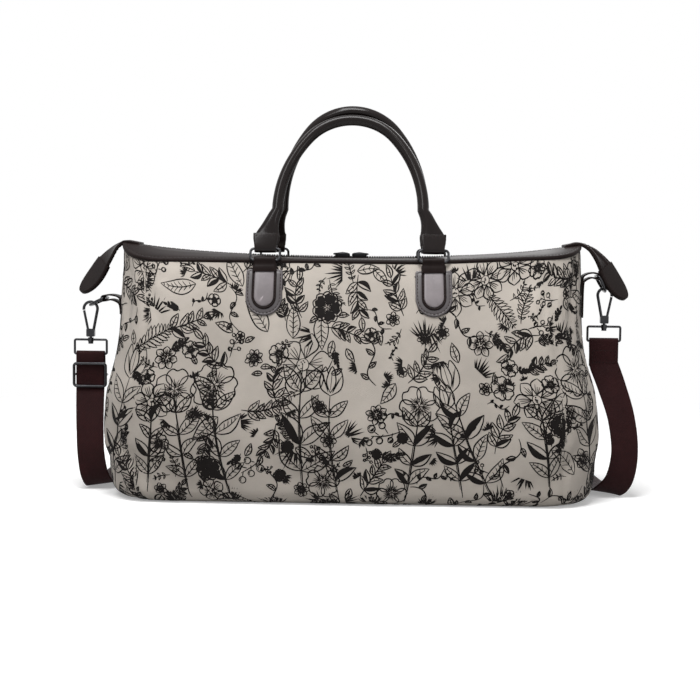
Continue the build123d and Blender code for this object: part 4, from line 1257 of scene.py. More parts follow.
def roof_band(draft, face, reach_of, layers, stations=150):
    """Adds a band that lies on the mouth's roof. layers are (share of the reach, extra, lift)."""
    limit = QUARTER - FLAT_SIDE - 0.1 * FLAT_CORNER
    points, pattern = [], []
    for i in range(stations + 1):
        place = linear_blend(-limit, limit, i / stations)
        rim, inward = rim_station(place)
        reach = reach_of(rim, inward)
        for share, extra, lift in layers:
            depth = share * reach + extra
            spot = rim + inward * depth
            level = float(roof_height(spot.x, spot.y)) if depth > 0 else rim.z
            points.append((spot.x, spot.y if face < 0 else -spot.y, level + lift))
            pattern.append((place, depth))
    faces = tube_faces(stations + 1, len(layers))
    draft.add(points, turned_over(faces) if face < 0 else faces, pattern)


def leather_reach(rim, inward):
    """Width of the leather strip: narrow in the middle of the mouth and full at both ends."""
    full = strip_reach(rim, inward)
    return linear_blend(17 * MM, full, float(ease(62 * MM, 128 * MM, abs(rim.x))))


# Sections of the strip and the panel: share of the reach, extra depth and lift
STRIP_LAYERS = (
    (0, -0.4 * MM, -2.1 * MM), (0, -1.2 * MM, -2.4 * MM), (0, -1.8 * MM, -1.9 * MM),
    (0, -2.0 * MM, -0.8 * MM), (0, -1.8 * MM, 0.4 * MM), (0, -1.0 * MM, 1.3 * MM),
    (0, 0.6 * MM, 1.75 * MM), (0, 1.9 * MM, 1.75 * MM), (0, 2.5 * MM, 1.6 * MM),
    (0, 3.1 * MM, 1.8 * MM), (0.3, 2.0 * MM, 2.1 * MM), (0.6, 1.0 * MM, 2.1 * MM),
    (1, -3.0 * MM, 1.95 * MM), (1, -2.2 * MM, 1.7 * MM), (1, -1.4 * MM, 1.95 * MM),
    (1, -0.4 * MM, 1.8 * MM), (1, 0, 1.2 * MM), (1, -0.2 * MM, 0.5 * MM),
    (0.5, 0, 0.4 * MM), (0, 0.5 * MM, 0.3 * MM),
)
PANEL_LAYERS = (
    (0, 0.4 * MM, -0.6 * MM), (0, 0.6 * MM, 0.2 * MM), (0.25, 0, 0.3 * MM), (0.5, 0, 0.32 * MM),
    (0.75, 0, 0.3 * MM), (1, -0.6 * MM, 0.3 * MM), (1, -0.1 * MM, 0.0), (0.6, 0, -0.6 * MM),
    (0.3, 0, -0.6 * MM),
)


class BAG_OT_mouth(bpy.types.Operator):
    """Make the fabric panels and leather strips on both sides of the zip"""

    bl_idname = "bag.mouth"
    bl_label = "Mouth strips"

    def execute(self, context):
        threads = Draft()
        for face, face_name in FACES:
            panel, strip = Draft(), Draft()
            roof_band(panel, face, strip_reach, PANEL_LAYERS)
            make_piece(panel, f"{face_name}_zip_panel", "root", "printed_fabric", 60)
            roof_band(strip, face, leather_reach, STRIP_LAYERS, 180)
            made = make_piece(strip, f"{face_name}_leather_strip", "root", "leather", 60)
            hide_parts(f"{face_name}_mouth_strip")
            self.sew(threads, face, 0, 2.5 * MM)
            self.sew(threads, face, 1, -2.2 * MM)
        make_piece(threads, "mouth_stitching", "root", "thread")
        return {"FINISHED"}

    def sew(self, threads, face, share, extra):
        """Adds one row of stitches along the strip."""
        limit = QUARTER - FLAT_SIDE - 0.16 * FLAT_CORNER
        path, normals = [], []
        for i in range(121):
            place = linear_blend(-limit, limit, i / 120)
            rim, inward = rim_station(place)
            spot = rim + inward * (share * leather_reach(rim, inward) + extra)
            level = float(roof_height(spot.x, spot.y)) + 1.85 * MM
            path.append(Vector((spot.x, spot.y if face < 0 else -spot.y, level)))
            slope = (zip_height(spot.x) - RIM_HEIGHT) / (RIM_HALF_DEPTH - BAND_HALF)
            normals.append(unit(Vector((0, (-slope if face < 0 else slope), 1))))
        stitch_row(threads, path, normals)


TOOTH_PITCH = 2.5 * MM

# Outline of a tooth in millimetres: distance from the middle, half width, height
TOOTH_ROWS = (
    (3.1, 0.85, 0.0), (3.2, 0.85, 0.9), (2.6, 0.6, 1.35), (-0.6, 0.6, 1.35), (-1.2, 0.85, 0.9),
    (-1.2, 0.85, 0.0),
)


class BAG_OT_zip(bpy.types.Operator):
    """Make the zip's tape and its two rows of teeth along the mouth's arc"""

    bl_idname = "bag.zip"
    bl_label = "Zip"

    def execute(self, context):
        tape = Draft()
        stations = 120
        reach = RIM_HALF_LENGTH - 1.0 * MM
        path = []
        for i in range(stations + 1):
            x = linear_blend(-reach, reach, i / stations)
            path.append(Vector((x, 0, zip_height(x) + 0.7 * MM)))
        profile = band_profile(27 * MM, 1.1 * MM, rows=10)
        sweep(tape, path, [Vector((0, -1, 0))] * len(path), [profile] * len(path))
        made = make_piece(tape, "zip_tape_woven", "root", "zip_tape", 50)
        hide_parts("zip_tape")
        teeth = Draft()
        count = int(2 * (reach - 6 * MM) / TOOTH_PITCH)
        for i in range(count):
            x = (i - (count - 1) / 2) * TOOTH_PITCH
            self.add_tooth(teeth, x, -1 if i % 2 else 1)
        made = make_piece(teeth, "zip_teeth_row", "root", "zip_teeth", 40)
        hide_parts("zip_chain")
        return {"FINISHED"}

    def add_tooth(self, draft, x, side):
        """Adds one moulded tooth: a block on the tape with a narrower head over the middle."""
        slope = math.atan2(zip_height(x + MM) - zip_height(x - MM), 2 * MM)
        turn = Matrix.Translation((x, 0, zip_height(x) + 1.2 * MM)) @ Matrix.Rotation(-slope, 4, "Y")
        points = []
        for width in (-1, 1):
            for y, half, z in TOOTH_ROWS:
                points.append(turn @ Vector((width * half * MM, side * y * MM, z * MM)))
        faces = tube_faces(2, len(TOOTH_ROWS))
        draft.add(points, turned_over(faces) if side < 0 else faces)


# Sections along a slider: place, share of its width and share of its height
SLIDER_SECTIONS = (
    (-1.0, 0.3, 0.45), (-0.92, 0.62, 0.7), (-0.6, 0.86, 0.86), (0.0, 1.0, 1.0),
    (0.6, 0.9, 0.88), (0.92, 0.66, 0.7), (1.0, 0.36, 0.45),
)
SLIDER_OVERHANG = 1.8 * MM
PULL_DROP = 1.4 * MM
PULL_HALF_THICKNESS = 1.3 * MM


class BAG_OT_sliders(bpy.types.Operator):
    """Make the two zip sliders and their pulls"""

    bl_idname = "bag.sliders"
    bl_label = "Sliders and pulls"

    def execute(self, context):
        for end, end_name in ENDS:
            low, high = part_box(f"{end_name}_slider")
            centre = (low + high) / 2 + Vector((end * SLIDER_OVERHANG, 0, 0))
            half = (high.x - low.x) / 2 + SLIDER_OVERHANG
            crown, floor = high.z - 1.0 * MM, low.z - 2.6 * MM
            body = Draft()
            self.add_lump(body, centre, half, (high.y - low.y) / 2, floor, crown)
            rider = f"{end_name}_slider"
            made = make_piece(body, f"{end_name}_zip_slider", rider, "dark_metal", 75)
            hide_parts(f"{end_name}_slider")
            low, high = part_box(f"{end_name}_pull")
            pull = Draft()
            self.add_pull(pull, low, high, end)
            made = make_piece(pull, f"{end_name}_zip_pull", f"{end_name}_pull", "dark_metal", 60)
            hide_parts(f"{end_name}_pull")
        return {"FINISHED"}

    def add_lump(self, draft, centre, half, reach, floor, crown):
        """Adds a slider's rounded block along x."""
        sides = 16
        points = []
        middle = (floor + crown) / 2
        for place, wide, tall in SLIDER_SECTIONS:
            for k in range(sides):
                angle = 2 * math.pi * k / sides
                c, q = math.cos(angle), math.sin(angle)
                y = reach * wide * math.copysign(abs(c) ** 0.55, c)
                z = middle + (crown - floor) / 2 * tall * math.copysign(abs(q) ** 0.55, q)
                points.append((centre.x + half * place, centre.y + y, z))
        draft.add(points, tube_faces(len(SLIDER_SECTIONS), sides))

    def add_pull(self, draft, low, high, end):
        """Adds an oval plate with a slot through it and rounded edges."""
        centre = (low + high) / 2 - Vector((0, 0, PULL_DROP))
        long, wide = (high.x - low.x) / 2, (high.y - low.y) / 2
        sides, rings = 40, 8
        points, faces = [], []
        for k in range(sides):
            angle = 2 * math.pi * k / sides
            c, q = math.cos(angle), math.sin(angle)
            outer = Vector((long * math.copysign(abs(c) ** 0.8, c), wide * (1 - 0.16 * c * end) * q, 0))
            inner = Vector((long * 0.4 * c - end * long * 0.42, wide * 0.42 * q, 0))
            for r in range(rings):
                turn = 2 * math.pi * r / rings
                edge = inner.lerp(outer, 0.5 + 0.5 * math.cos(turn))
                rise = Vector((0, 0, PULL_HALF_THICKNESS * math.sin(turn)))
                points.append(centre + edge + rise)
        for k in range(sides):
            n = (k + 1) % sides
            for r in range(rings):
                u = (r + 1) % rings
                faces.append((k * rings + r, n * rings + r, n * rings + u, k * rings + u))
        draft.add(points, faces)


# Leather on the faces of the bag
def on_face(face, x, height, lift):
    """Point over the front or back, at x and height, and the outward direction there."""
    place, up = place_on_face(face, np.array([x]), np.array([height]))
    spots, outward = body_surface(place, up, np.array([lift]))
    return Vector(spots[0]), Vector(outward[0])


def tongue_outline(half_width, length, inset, corner=1.5 * MM):
    """Outline of a tongue with a round foot, from the top left corner round to the top right."""
    radius = half_width - inset
    foot = -(length - half_width)
    top = -inset
    points = [(-radius, linear_blend(top - corner, foot, i / 9)) for i in range(10)]
    points += [(radius * math.cos(a), foot + radius * math.sin(a)) for a in
               (math.pi + math.pi * i / 18 for i in range(1, 18))]
    points += [(radius, linear_blend(foot, top - corner, i / 9)) for i in range(10)]
    points += [(linear_blend(radius - corner, corner - radius, i / 5), top) for i in range(6)]
    return points


def raised_tongue(draft, face, middle, top, half_width, length, rings):
    """Adds a moulded tongue on the fabric. rings are (inset, lift) from its edge to its middle."""
    points = []
    for inset, lift in rings:
        outline = np.array(tongue_outline(half_width, length, inset * MM))
        place, up = place_on_face(face, middle + outline[:, 0], top + outline[:, 1])
        spots, _ = body_surface(place, up, np.full(len(outline), lift * MM))
        points.extend(Vector(p) for p in spots)
    faces = tube_faces(len(rings), len(points) // len(rings))
    draft.add(points, turned_over(faces) if face > 0 else faces, [(p.x, p.z) for p in points])


def sew_tongue(threads, face, middle, top, half_width, length, inset, lift):
    """Adds a row of stitches along a tongue's edge, apart from its top."""
    outline = tongue_outline(half_width, length, inset * MM)[:37]
    path, normals = [], []
    for x, z in outline:
        spot, outward = on_face(face, middle + x, top + z, lift * MM)
        path.append(spot)
        normals.append(outward)
    stitch_row(threads, path, normals, gap=1.1 * MM)


PATCH_HALF_WIDTH, PATCH_LENGTH = 18.3 * MM, 44.5 * MM
TONGUE_HALF_WIDTH, TONGUE_LENGTH = 12.2 * MM, 44 * MM
FACING_HALF_WIDTH, FACING_LENGTH = 9.7 * MM, 36.6 * MM

# Rings of each moulded piece, from its edge to its middle: inset and lift in millimetres
PATCH_RINGS = (
    (0.0, -0.3), (-0.1, 0.9), (0.1, 1.5), (0.6, 1.85), (1.3, 1.9), (1.8, 1.7), (2.1, 1.6), (2.4, 1.7),
    (3.0, 1.9), (4.5, 1.95), (7.0, 1.9), (11.0, 1.9), (16.0, 1.9),
)
TONGUE_RINGS = (
    (0.0, 1.7), (-0.1, 2.5), (0.2, 2.95), (0.8, 3.15), (1.4, 3.0), (1.7, 2.8), (2.0, 2.85),
    (4.0, 2.9), (9.0, 2.9),
)
FACING_RINGS = (
    (0.0, 2.7), (0.0, 3.3), (0.25, 3.7), (0.8, 3.95), (2.0, 4.05), (4.5, 4.1), (8.0, 4.1), (9.4, 4.1),
)


class BAG_OT_patches(bpy.types.Operator):
    """Make the sewn patches, their tongues and the loops that hold the handle rings"""

    bl_idname = "bag.patches"
    bl_label = "Patches and loops"

    def execute(self, context):
        threads = Draft()
        patch_top = RIM_HEIGHT - 9.5 * MM
        tongue_top = RIM_HEIGHT - 4 * MM
        for face, face_name in FACES:
            for end, end_name in ENDS:
                spot = f"{face_name}_{end_name}"
                middle = end * FOOT_X
                patch, tongue, facing, loop = Draft(), Draft(), Draft(), Draft()
                size = (PATCH_HALF_WIDTH, PATCH_LENGTH)
                raised_tongue(patch, face, middle, patch_top, *size, PATCH_RINGS)
                # The patch takes the finish with the painted sheen.
                made = make_piece(patch, f"{spot}_sewn_patch", "root", "patch_leather", 70)
                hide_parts(f"{spot}_patch")
                sew_tongue(threads, face, middle, patch_top, *size, 2.1, 1.85)
                size = (TONGUE_HALF_WIDTH, TONGUE_LENGTH)
                raised_tongue(tongue, face, middle, tongue_top, *size, TONGUE_RINGS)
                made = make_piece(tongue, f"{spot}_tongue", "root", "leather", 70)
                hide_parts(f"{spot}_chape")
                sew_tongue(threads, face, middle, tongue_top, *size, 1.5, 3.05)
                size = (FACING_HALF_WIDTH, FACING_LENGTH)
                raised_tongue(facing, face, middle, tongue_top - 5 * MM, *size, FACING_RINGS)
                # The facing takes the finish with the painted reflection.
                make_piece(facing, f"{spot}_facing", "root", "facing_leather", 70)
                self.add_loop(loop, face, middle)
                make_piece(loop, f"{spot}_ring_loop", "root", "leather", 60)
        make_piece(threads, "patch_stitching", "root", "thread")
        return {"FINISHED"}

    def add_loop(self, draft, face, middle):
        """Adds the band that runs up from the tongue, over the ring's bar and down behind."""
        path = []
        for height, lift in ((228, 4.3), (230, 5.0), (233, 5.2), (236, 5.3)):
            path.append(on_face(face, middle, height * MM, lift * MM)[0])
        bar = Vector((middle, face * PIVOT_Y, PIVOT_Z))
        radius = 2.75 * MM
        for i in range(11):
            angle = math.pi * i / 10 - 0.15
            path.append(bar + Vector((0, face * radius * math.cos(angle), radius * math.sin(angle))))
        path.append(Vector((middle, face * (RIM_HALF_DEPTH + 1.2 * MM), RIM_HEIGHT - 2 * MM)))
        profiles = []
        for i in range(len(path)):
            thickness = (1.26 if i == 0 else 2.1) * MM
            width = (22.6 if i < 4 else 22.0) * MM
            profiles.append(band_profile(width, thickness, rows=10, crown=0.15 * MM))
        sweep(draft, path, [Vector((-face, 0, 0))] * len(path), profiles)


# Handles in their leaning planes
def handle_frame(face, face_name):
    """Origin, upward direction and outward direction of a leaning handle's plane."""
    lean = math.radians(LEANS[face_name])
    up = Vector((0, -face * math.sin(lean), math.cos(lean)))
    out = Vector((0, face * math.cos(lean), math.sin(lean)))
    return Vector((0, face * PIVOT_Y, PIVOT_Z)), up, out


HANDLE_SPAN = 149.6 * MM
LEG_HEIGHT = 55.5 * MM
TOP_RADIUS = 58 * MM
SIDE_RADIUS = 130 * MM
BLADE_HALF_THICKNESS = 2.2 * MM
RING_HEIGHT = 12.4 * MM
HANDLE_SIDES = 28
SEAM_ANGLE = 0.5

# Foot of a handle in millimetres: height, share of the way out to the ring, half width, flatness
HANDLE_FLARE = (
    (17.5, 1.0, 12.0, 1.0), (21, 0.98, 12.0, 1.0), (25, 0.93, 12.0, 0.98), (28, 0.88, 11.7, 0.92),
    (31, 0.83, 10.6, 0.84), (34, 0.76, 9.4, 0.72), (38, 0.66, 8.2, 0.55), (42, 0.55, 7.2, 0.4),
    (46, 0.42, 6.5, 0.27), (50, 0.27, 6.0, 0.15), (54, 0.08, 5.6, 0.03),
)


def handle_line(tube):
    """Half of a handle from its foot to its top: x, height, half width and half thickness."""
    rows = []
    shift = FOOT_X - HANDLE_SPAN / 2
    for height, spread, wide, flat in HANDLE_FLARE:
        thin = linear_blend(tube, BLADE_HALF_THICKNESS, flat)
        rows.append((HANDLE_SPAN / 2 + shift * spread, height * MM, max(wide * MM, tube), thin))
    side_centre = HANDLE_SPAN / 2 - SIDE_RADIUS
    shoulder = math.acos(-side_centre / (SIDE_RADIUS - TOP_RADIUS))
    top_centre = LEG_HEIGHT + (SIDE_RADIUS - TOP_RADIUS) * math.sin(shoulder)
    for i in range(20):
        angle = shoulder * i / 20
        x, height = side_centre + SIDE_RADIUS * math.cos(angle), LEG_HEIGHT + SIDE_RADIUS * math.sin(angle)
        rows.append((x, height, tube, tube))
    for i in range(15):
        angle = shoulder + (math.pi / 2 - shoulder) * i / 14
        rows.append((TOP_RADIUS * math.cos(angle), top_centre + TOP_RADIUS * math.sin(angle), tube, tube))
    return rows


class BAG_OT_handles(bpy.types.Operator):
    """Make the rolled handles and the wraps that fold round their rings"""

    bl_idname = "bag.handles"
    bl_label = "Handles"

    def execute(self, context):
        tube = context.scene.bag_sizes.handle_tube
        half = handle_line(tube)
        rows = half + [(-x, h, w, t) for x, h, w, t in reversed(half[:-1])]
        for face, face_name in FACES:
            origin, up, out = handle_frame(face, face_name)
            handle, threads = Draft(), Draft()
            path = [origin + Vector((x, 0, 0)) + up * h for x, h, _, _ in rows]
            seam_path, seam_normals = [], []
            tangents = directions(path)
            points, pattern = [], []
            run = 0.0
            for i, (centre, (x, h, wide, thin)) in enumerate(zip(path, rows)):
                inward = unit(out.cross(tangents[i]))
                run += (centre - path[i - 1]).length if i else 0
                for k in range(HANDLE_SIDES):
                    angle = 2 * math.pi * k / HANDLE_SIDES
                    reach = wide * math.cos(angle) * self.seam_swell(angle)
                    points.append(centre + inward * reach + out * (thin * math.sin(angle)))
                    pattern.append((run, angle * tube))
                if h > 34 * MM:
                    aside, up_side = math.cos(SEAM_ANGLE), math.sin(SEAM_ANGLE)
                    seam_path.append(centre + inward * (wide * aside * 0.985) + out * (thin * up_side))
                    seam_normals.append(unit(inward * aside + out * up_side))
            faces = tube_faces(len(path), HANDLE_SIDES)
            if self.inside_out(points, faces):
                faces = turned_over(faces)
            handle.add(points, faces, pattern)
            body = f"{face_name}_handle"
            roll_name = f"{face_name}_rolled_handle"
            made = make_piece(handle, roll_name, body, "handle_leather")
            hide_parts(body)
            stitch_row(threads, seam_path, seam_normals, gap=1.6 * MM, thread=0.34 * MM)
            for end, end_name in ENDS:
                wrap = Draft()
                self.add_wrap(wrap, threads, origin + Vector((end * FOOT_X, 0, 0)), up, out)
                band_name = f"{face_name}_{end_name}_band"
                made = make_piece(wrap, band_name, body, "handle_leather", 60)
                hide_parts(f"{face_name}_{end_name}_wrap")
            make_piece(threads, f"{face_name}_handle_stitching", body, "thread")
        return {"FINISHED"}

    def seam_swell(self, angle):
        """How far the roll stands out at an angle: a ridge at the seam with a groove beside it."""
        off = min(angle, 2 * math.pi - angle)
        return 1 + 0.13 * math.exp(-((off / 0.3) ** 2)) - 0.05 * math.exp(-(((off - 0.62) / 0.2) ** 2))

    def inside_out(self, points, faces):
        """True if the first side face looks towards the middle of its tube."""
        a, b, c = (points[i] for i in faces[0][:3])
        middle = sum(points[:HANDLE_SIDES], Vector()) / HANDLE_SIDES
        return (b - a).cross(c - b).dot(a - middle) < 0

    def add_wrap(self, draft, threads, foot, up, out):
        """Adds the band round the ring's upper bar and both faces of the handle's blade."""
        reach, radius = 3.25 * MM, 3.0 * MM
        bar = RING_HEIGHT
        places = [(reach + bulge * MM, h * MM) for bulge, h in ((0, 28), (0.15, 26), (0.1, 22), (0, 17))]
        angles = [math.pi * i / 10 for i in range(11)]
        turn = [(radius * math.cos(a), bar - radius * math.sin(a)) for a in angles]
        back = [(-w, h) for w, h in reversed(places)]
        path = [foot + out * w + up * h for w, h in places + turn + back]
        widths = []
        for _, h in places + turn + back:
            widths.append(linear_blend(22.0, 25.2, float(ease(bar, 24 * MM, h))) * MM)
        profiles = [band_profile(w, 1.7 * MM, rows=12, crown=0.25 * MM) for w in widths]
        sweep(draft, path, [Vector((-1 if out.y < 0 else 1, 0, 0))] * len(path), profiles)
        edge = foot + out * (reach + 1.12 * MM) + up * 25.2 * MM
        row = [edge + Vector((x * MM, 0, 0)) for x in range(-11, 12)]
        stitch_row(threads, row, [out] * len(row), gap=1.1 * MM)


# Soft ends of the zip and the leather on both gussets. The tails' places are in millimetres past
# the mouth's end: how far out, how far up, and the twist in degrees
TAIL_SHAPES = {
    "left": (
        (-16, -0.3, 0), (-6, 1.6, 0), (1, 1.6, 2), (9, -3.0, 12), (17, -11.5, 26), (24.5, -21.0, 40),
    ),
    "right": (
        (-16, -0.3, 0), (-6, 1.8, 0), (2, 2.0, 2), (11.5, -2.4, 10), (21, -11.5, 24), (28.5, -22.0, 40),
    ),
}
TAB_LENGTH = 39 * MM


def tail_relief(ripple):
    """Relief across a tail: a sunk middle where the zip ends, and one soft ripple."""
    return lambda a: (-1.1 * MM if abs(a) < 4.2 * MM else 0.25 * MM) + ripple * math.cos(a / MM / 4)


class BAG_OT_tails(bpy.types.Operator):
    """Make the drooping ends of the zip band and their leaf-shaped tabs"""

    bl_idname = "bag.tails"
    bl_label = "Zip tails"

    def execute(self, context):
        for end, end_name in ENDS:
            lift = float(zip_height(end * RIM_HALF_LENGTH)) + 0.3 * MM
            shape = TAIL_SHAPES[end_name]
            places = [Vector((end * (RIM_HALF_LENGTH + x * MM), 0, lift + z * MM)) for x, z, _ in shape]
            path = curve_through(places, 6)
            tangents = directions(path)
            across, profiles = [], []
            for i, direction in enumerate(tangents):
                share = i / (len(path) - 1)
                row = share * (len(shape) - 1)
                twist = math.radians(np.interp(row, range(len(shape)), [t for _, _, t in shape]))
                upward = Vector((-end * direction.z, 0, end * direction.x))
                across.append(Vector((0, -1, 0)) * math.cos(twist) - upward * math.sin(twist))
                ripple = 0.5 * MM * math.sin(share * 14 + end)
                width = linear_blend(28.0, 25.5, share) * MM
                profiles.append(band_profile(width, 3.4 * MM, rows=14, relief=tail_relief(ripple)))
            tail = Draft()
            sweep(tail, path, across, profiles)
            made = make_piece(tail, f"{end_name}_tail_band", "root", "leather", 70)
            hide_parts(f"{end_name}_zip_tail")
            threads = Draft()
            for edge in (-1, 1):
                row, normals = [], []
                for i in range(6, len(path)):
                    wide = unit(across[i] - tangents[i] * across[i].dot(tangents[i]))
                    out = unit(wide.cross(tangents[i]))
                    row.append(path[i] + wide * edge * 10.8 * MM + out * 2.0 * MM)
                    normals.append(out)
                stitch_row(threads, row, normals)
            self.add_tab(threads, path[-1], tangents[-1], across[-1], end, end_name)
        return {"FINISHED"}

    def add_tab(self, threads, start, direction, across, end, end_name):
        """Makes the leaf-shaped tab that closes the tail, with a stitched edge."""
        rows = 26
        wide = unit(across - direction * across.dot(direction))
        out = unit(wide.cross(direction))
        path, profiles, widths = [], [], []
        for i in range(rows + 1):
            t = 1 - (1 - i / rows) ** 1.6
            width = 2 * linear_blend(13.2, 15.2, math.sin(min(t, 0.36) / 0.36 * math.pi / 2))
            if t > 0.36:
                width = 30.4 * math.sqrt(max(0.0, 1 - ((t - 0.36) / 0.645) ** 2.3))
            widths.append(max(width, 3.0) * MM)
            bend = out * (-1.8 * MM * math.sin(t * math.pi) * end)
            path.append(start - direction * 2 * MM + direction * (TAB_LENGTH + 1.5 * MM) * t + bend)
            thick = linear_blend(4.8, 3.8, t) * MM
            profiles.append(band_profile(widths[-1], min(thick, widths[-1] * 0.8), rows=12, crown=0.35 * MM))
        tab = Draft()
        sweep(tab, path, [across] * len(path), profiles)
        made = make_piece(tab, f"{end_name}_leaf_tab", "root", "leather", 70)
        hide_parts(f"{end_name}_tail_tab")
        for side in (-1, 1):
            row = []
            for spot, width in zip(path[2:-3], widths[2:-3]):
                row.append(spot + wide * side * (width / 2 - 2.4 * MM) + out * 2.35 * MM)
            stitch_row(threads, row, [out] * len(row))
        make_piece(threads, f"{end_name}_tail_stitching", "root", "thread")


class BAG_OT_end_tabs(bpy.types.Operator):
    """Make the leather tabs on both gussets that loop round the rings"""

    bl_idname = "bag.end_tabs"
    bl_label = "End tabs"

    def execute(self, context):
        threads = Draft()
        for end, end_name in ENDS:
            tab_low, tab_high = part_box(f"{end_name}_end_tab")
            ring_low, ring_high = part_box(f"{end_name}_d_ring")
            inner = tab_low.x if end > 0 else -tab_high.x
            tab_x = inner + 1.7 * MM
            loop_x = (ring_low.x if end > 0 else -ring_high.x) + 1.5 * MM
            loop_z = ring_high.z - 1.5 * MM
            foot, radius = tab_low.z, 2.75 * MM
            outline = [
                (tab_x - 1.0 * MM, foot - 2 * MM), (tab_x - 0.9 * MM, linear_blend(foot, loop_z, 0.35)),
                (tab_x + 0.2 * MM, loop_z - 4 * MM), (tab_x + 3.5 * MM, loop_z + 1.6 * MM),
                (linear_blend(tab_x, loop_x, 0.66), loop_z + 3.6 * MM),
            ]
            for i in range(9):
                angle = math.pi / 2 - math.pi * i / 8
                outline.append((loop_x + radius * math.cos(angle), loop_z + radius * math.sin(angle)))
            outline += [
                (linear_blend(tab_x, loop_x, 0.6), loop_z - 1.4 * MM),
                (tab_x + 3.2 * MM, loop_z - 4.6 * MM), (tab_x + 1.2 * MM, loop_z - 10 * MM),
                (tab_x + 0.8 * MM, foot - 1 * MM),
            ]
            path = curve_through([Vector((end * x, 0, z)) for x, z in outline], 4)
            profiles = [band_profile(20 * MM, 1.6 * MM, rows=10, crown=0.1 * MM)] * len(path)
            tab = Draft()
            sweep(tab, path, [Vector((0, -end, 0))] * len(path), profiles)
            made = make_piece(tab, f"{end_name}_gusset_tab", "root", "leather", 60)
            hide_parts(f"{end_name}_end_tab")
            face_x = end * (tab_x + 1.75 * MM)
            heights = [linear_blend(foot + 0.5 * MM, loop_z - 10 * MM, i / 6) for i in range(7)]
            for y in (-7.6, 7.6):
                row = [Vector((face_x, y * MM, z)) for z in heights]
                stitch_row(threads, row, [Vector((end, 0, 0))] * len(row), gap=1.0 * MM)
        make_piece(threads, "end_tab_stitching", "root", "thread")
        return {"FINISHED"}


# Shoulder strap: the route repeats the frame's own, in millimetres from each ring's middle
LEFT_ROUTE = (
    ((1.5, -11, 84), (1, -0.1, 0)), ((3.5, -20, 62), (0.97, -0.2, 0)), ((6, -27, 38), (0.97, -0.2, 0)),
    ((9.5, -28, 18), (0.98, -0.1, 0.1)), ((13, -19, 6), (0.98, 0, 0.15)), ((14, 0, 4), (0.98, 0, 0.14)),
    ((13, 26, 6.5), (0.95, 0, 0.25)), ((13, 60, 13), (0.75, 0, 0.65)), ((20, 102, 15.2), (0.15, 0, 1)),
    ((45, 146, 15.2), (0, 0, 1)), ((105, 172, 15.2), (0, 0, 1)), ((190, 178, 15.2), (0, 0, 1)),
)
MIDDLE_ROUTE = (((0, 180, 15.2), (0, 0, 1)),)
RIGHT_ROUTE = (
    ((-180, 178, 15.2), (0, 0, 1)), ((-95, 172, 15.2), (0, 0, 1)), ((-34, 146, 15.2), (0, 0, 1)),
    ((-10, 102, 15.2), (-0.15, 0, 1)), ((-3, 60, 13), (-0.75, 0, 0.65)), ((-3, 26, 6.5), (-0.95, 0, 0.25)),
    ((-1, 0, 4), (-0.98, 0, 0.14)), ((5, -19, 6), (-0.98, 0, 0.15)), ((15, -28, 20), (-0.98, -0.15, 0.1)),
    ((20, -27, 48), (-0.95, -0.3, 0)), ((17, -19, 82), (-0.97, -0.25, 0)), ((8, -9, 114), (-1, -0.1, 0)),
)
STRAP_WIDTH = 30 * MM
STRAP_THICKNESS = 1.6 * MM
LAYER = 2.5 * MM


def webbing_relief(across):
    """Ribs along the webbing and its thinner woven edges."""
    edge = 0.12 * MM if abs(across) > 13.4 * MM else 0
    return 0.07 * MM * math.cos(across / MM * math.pi) - edge


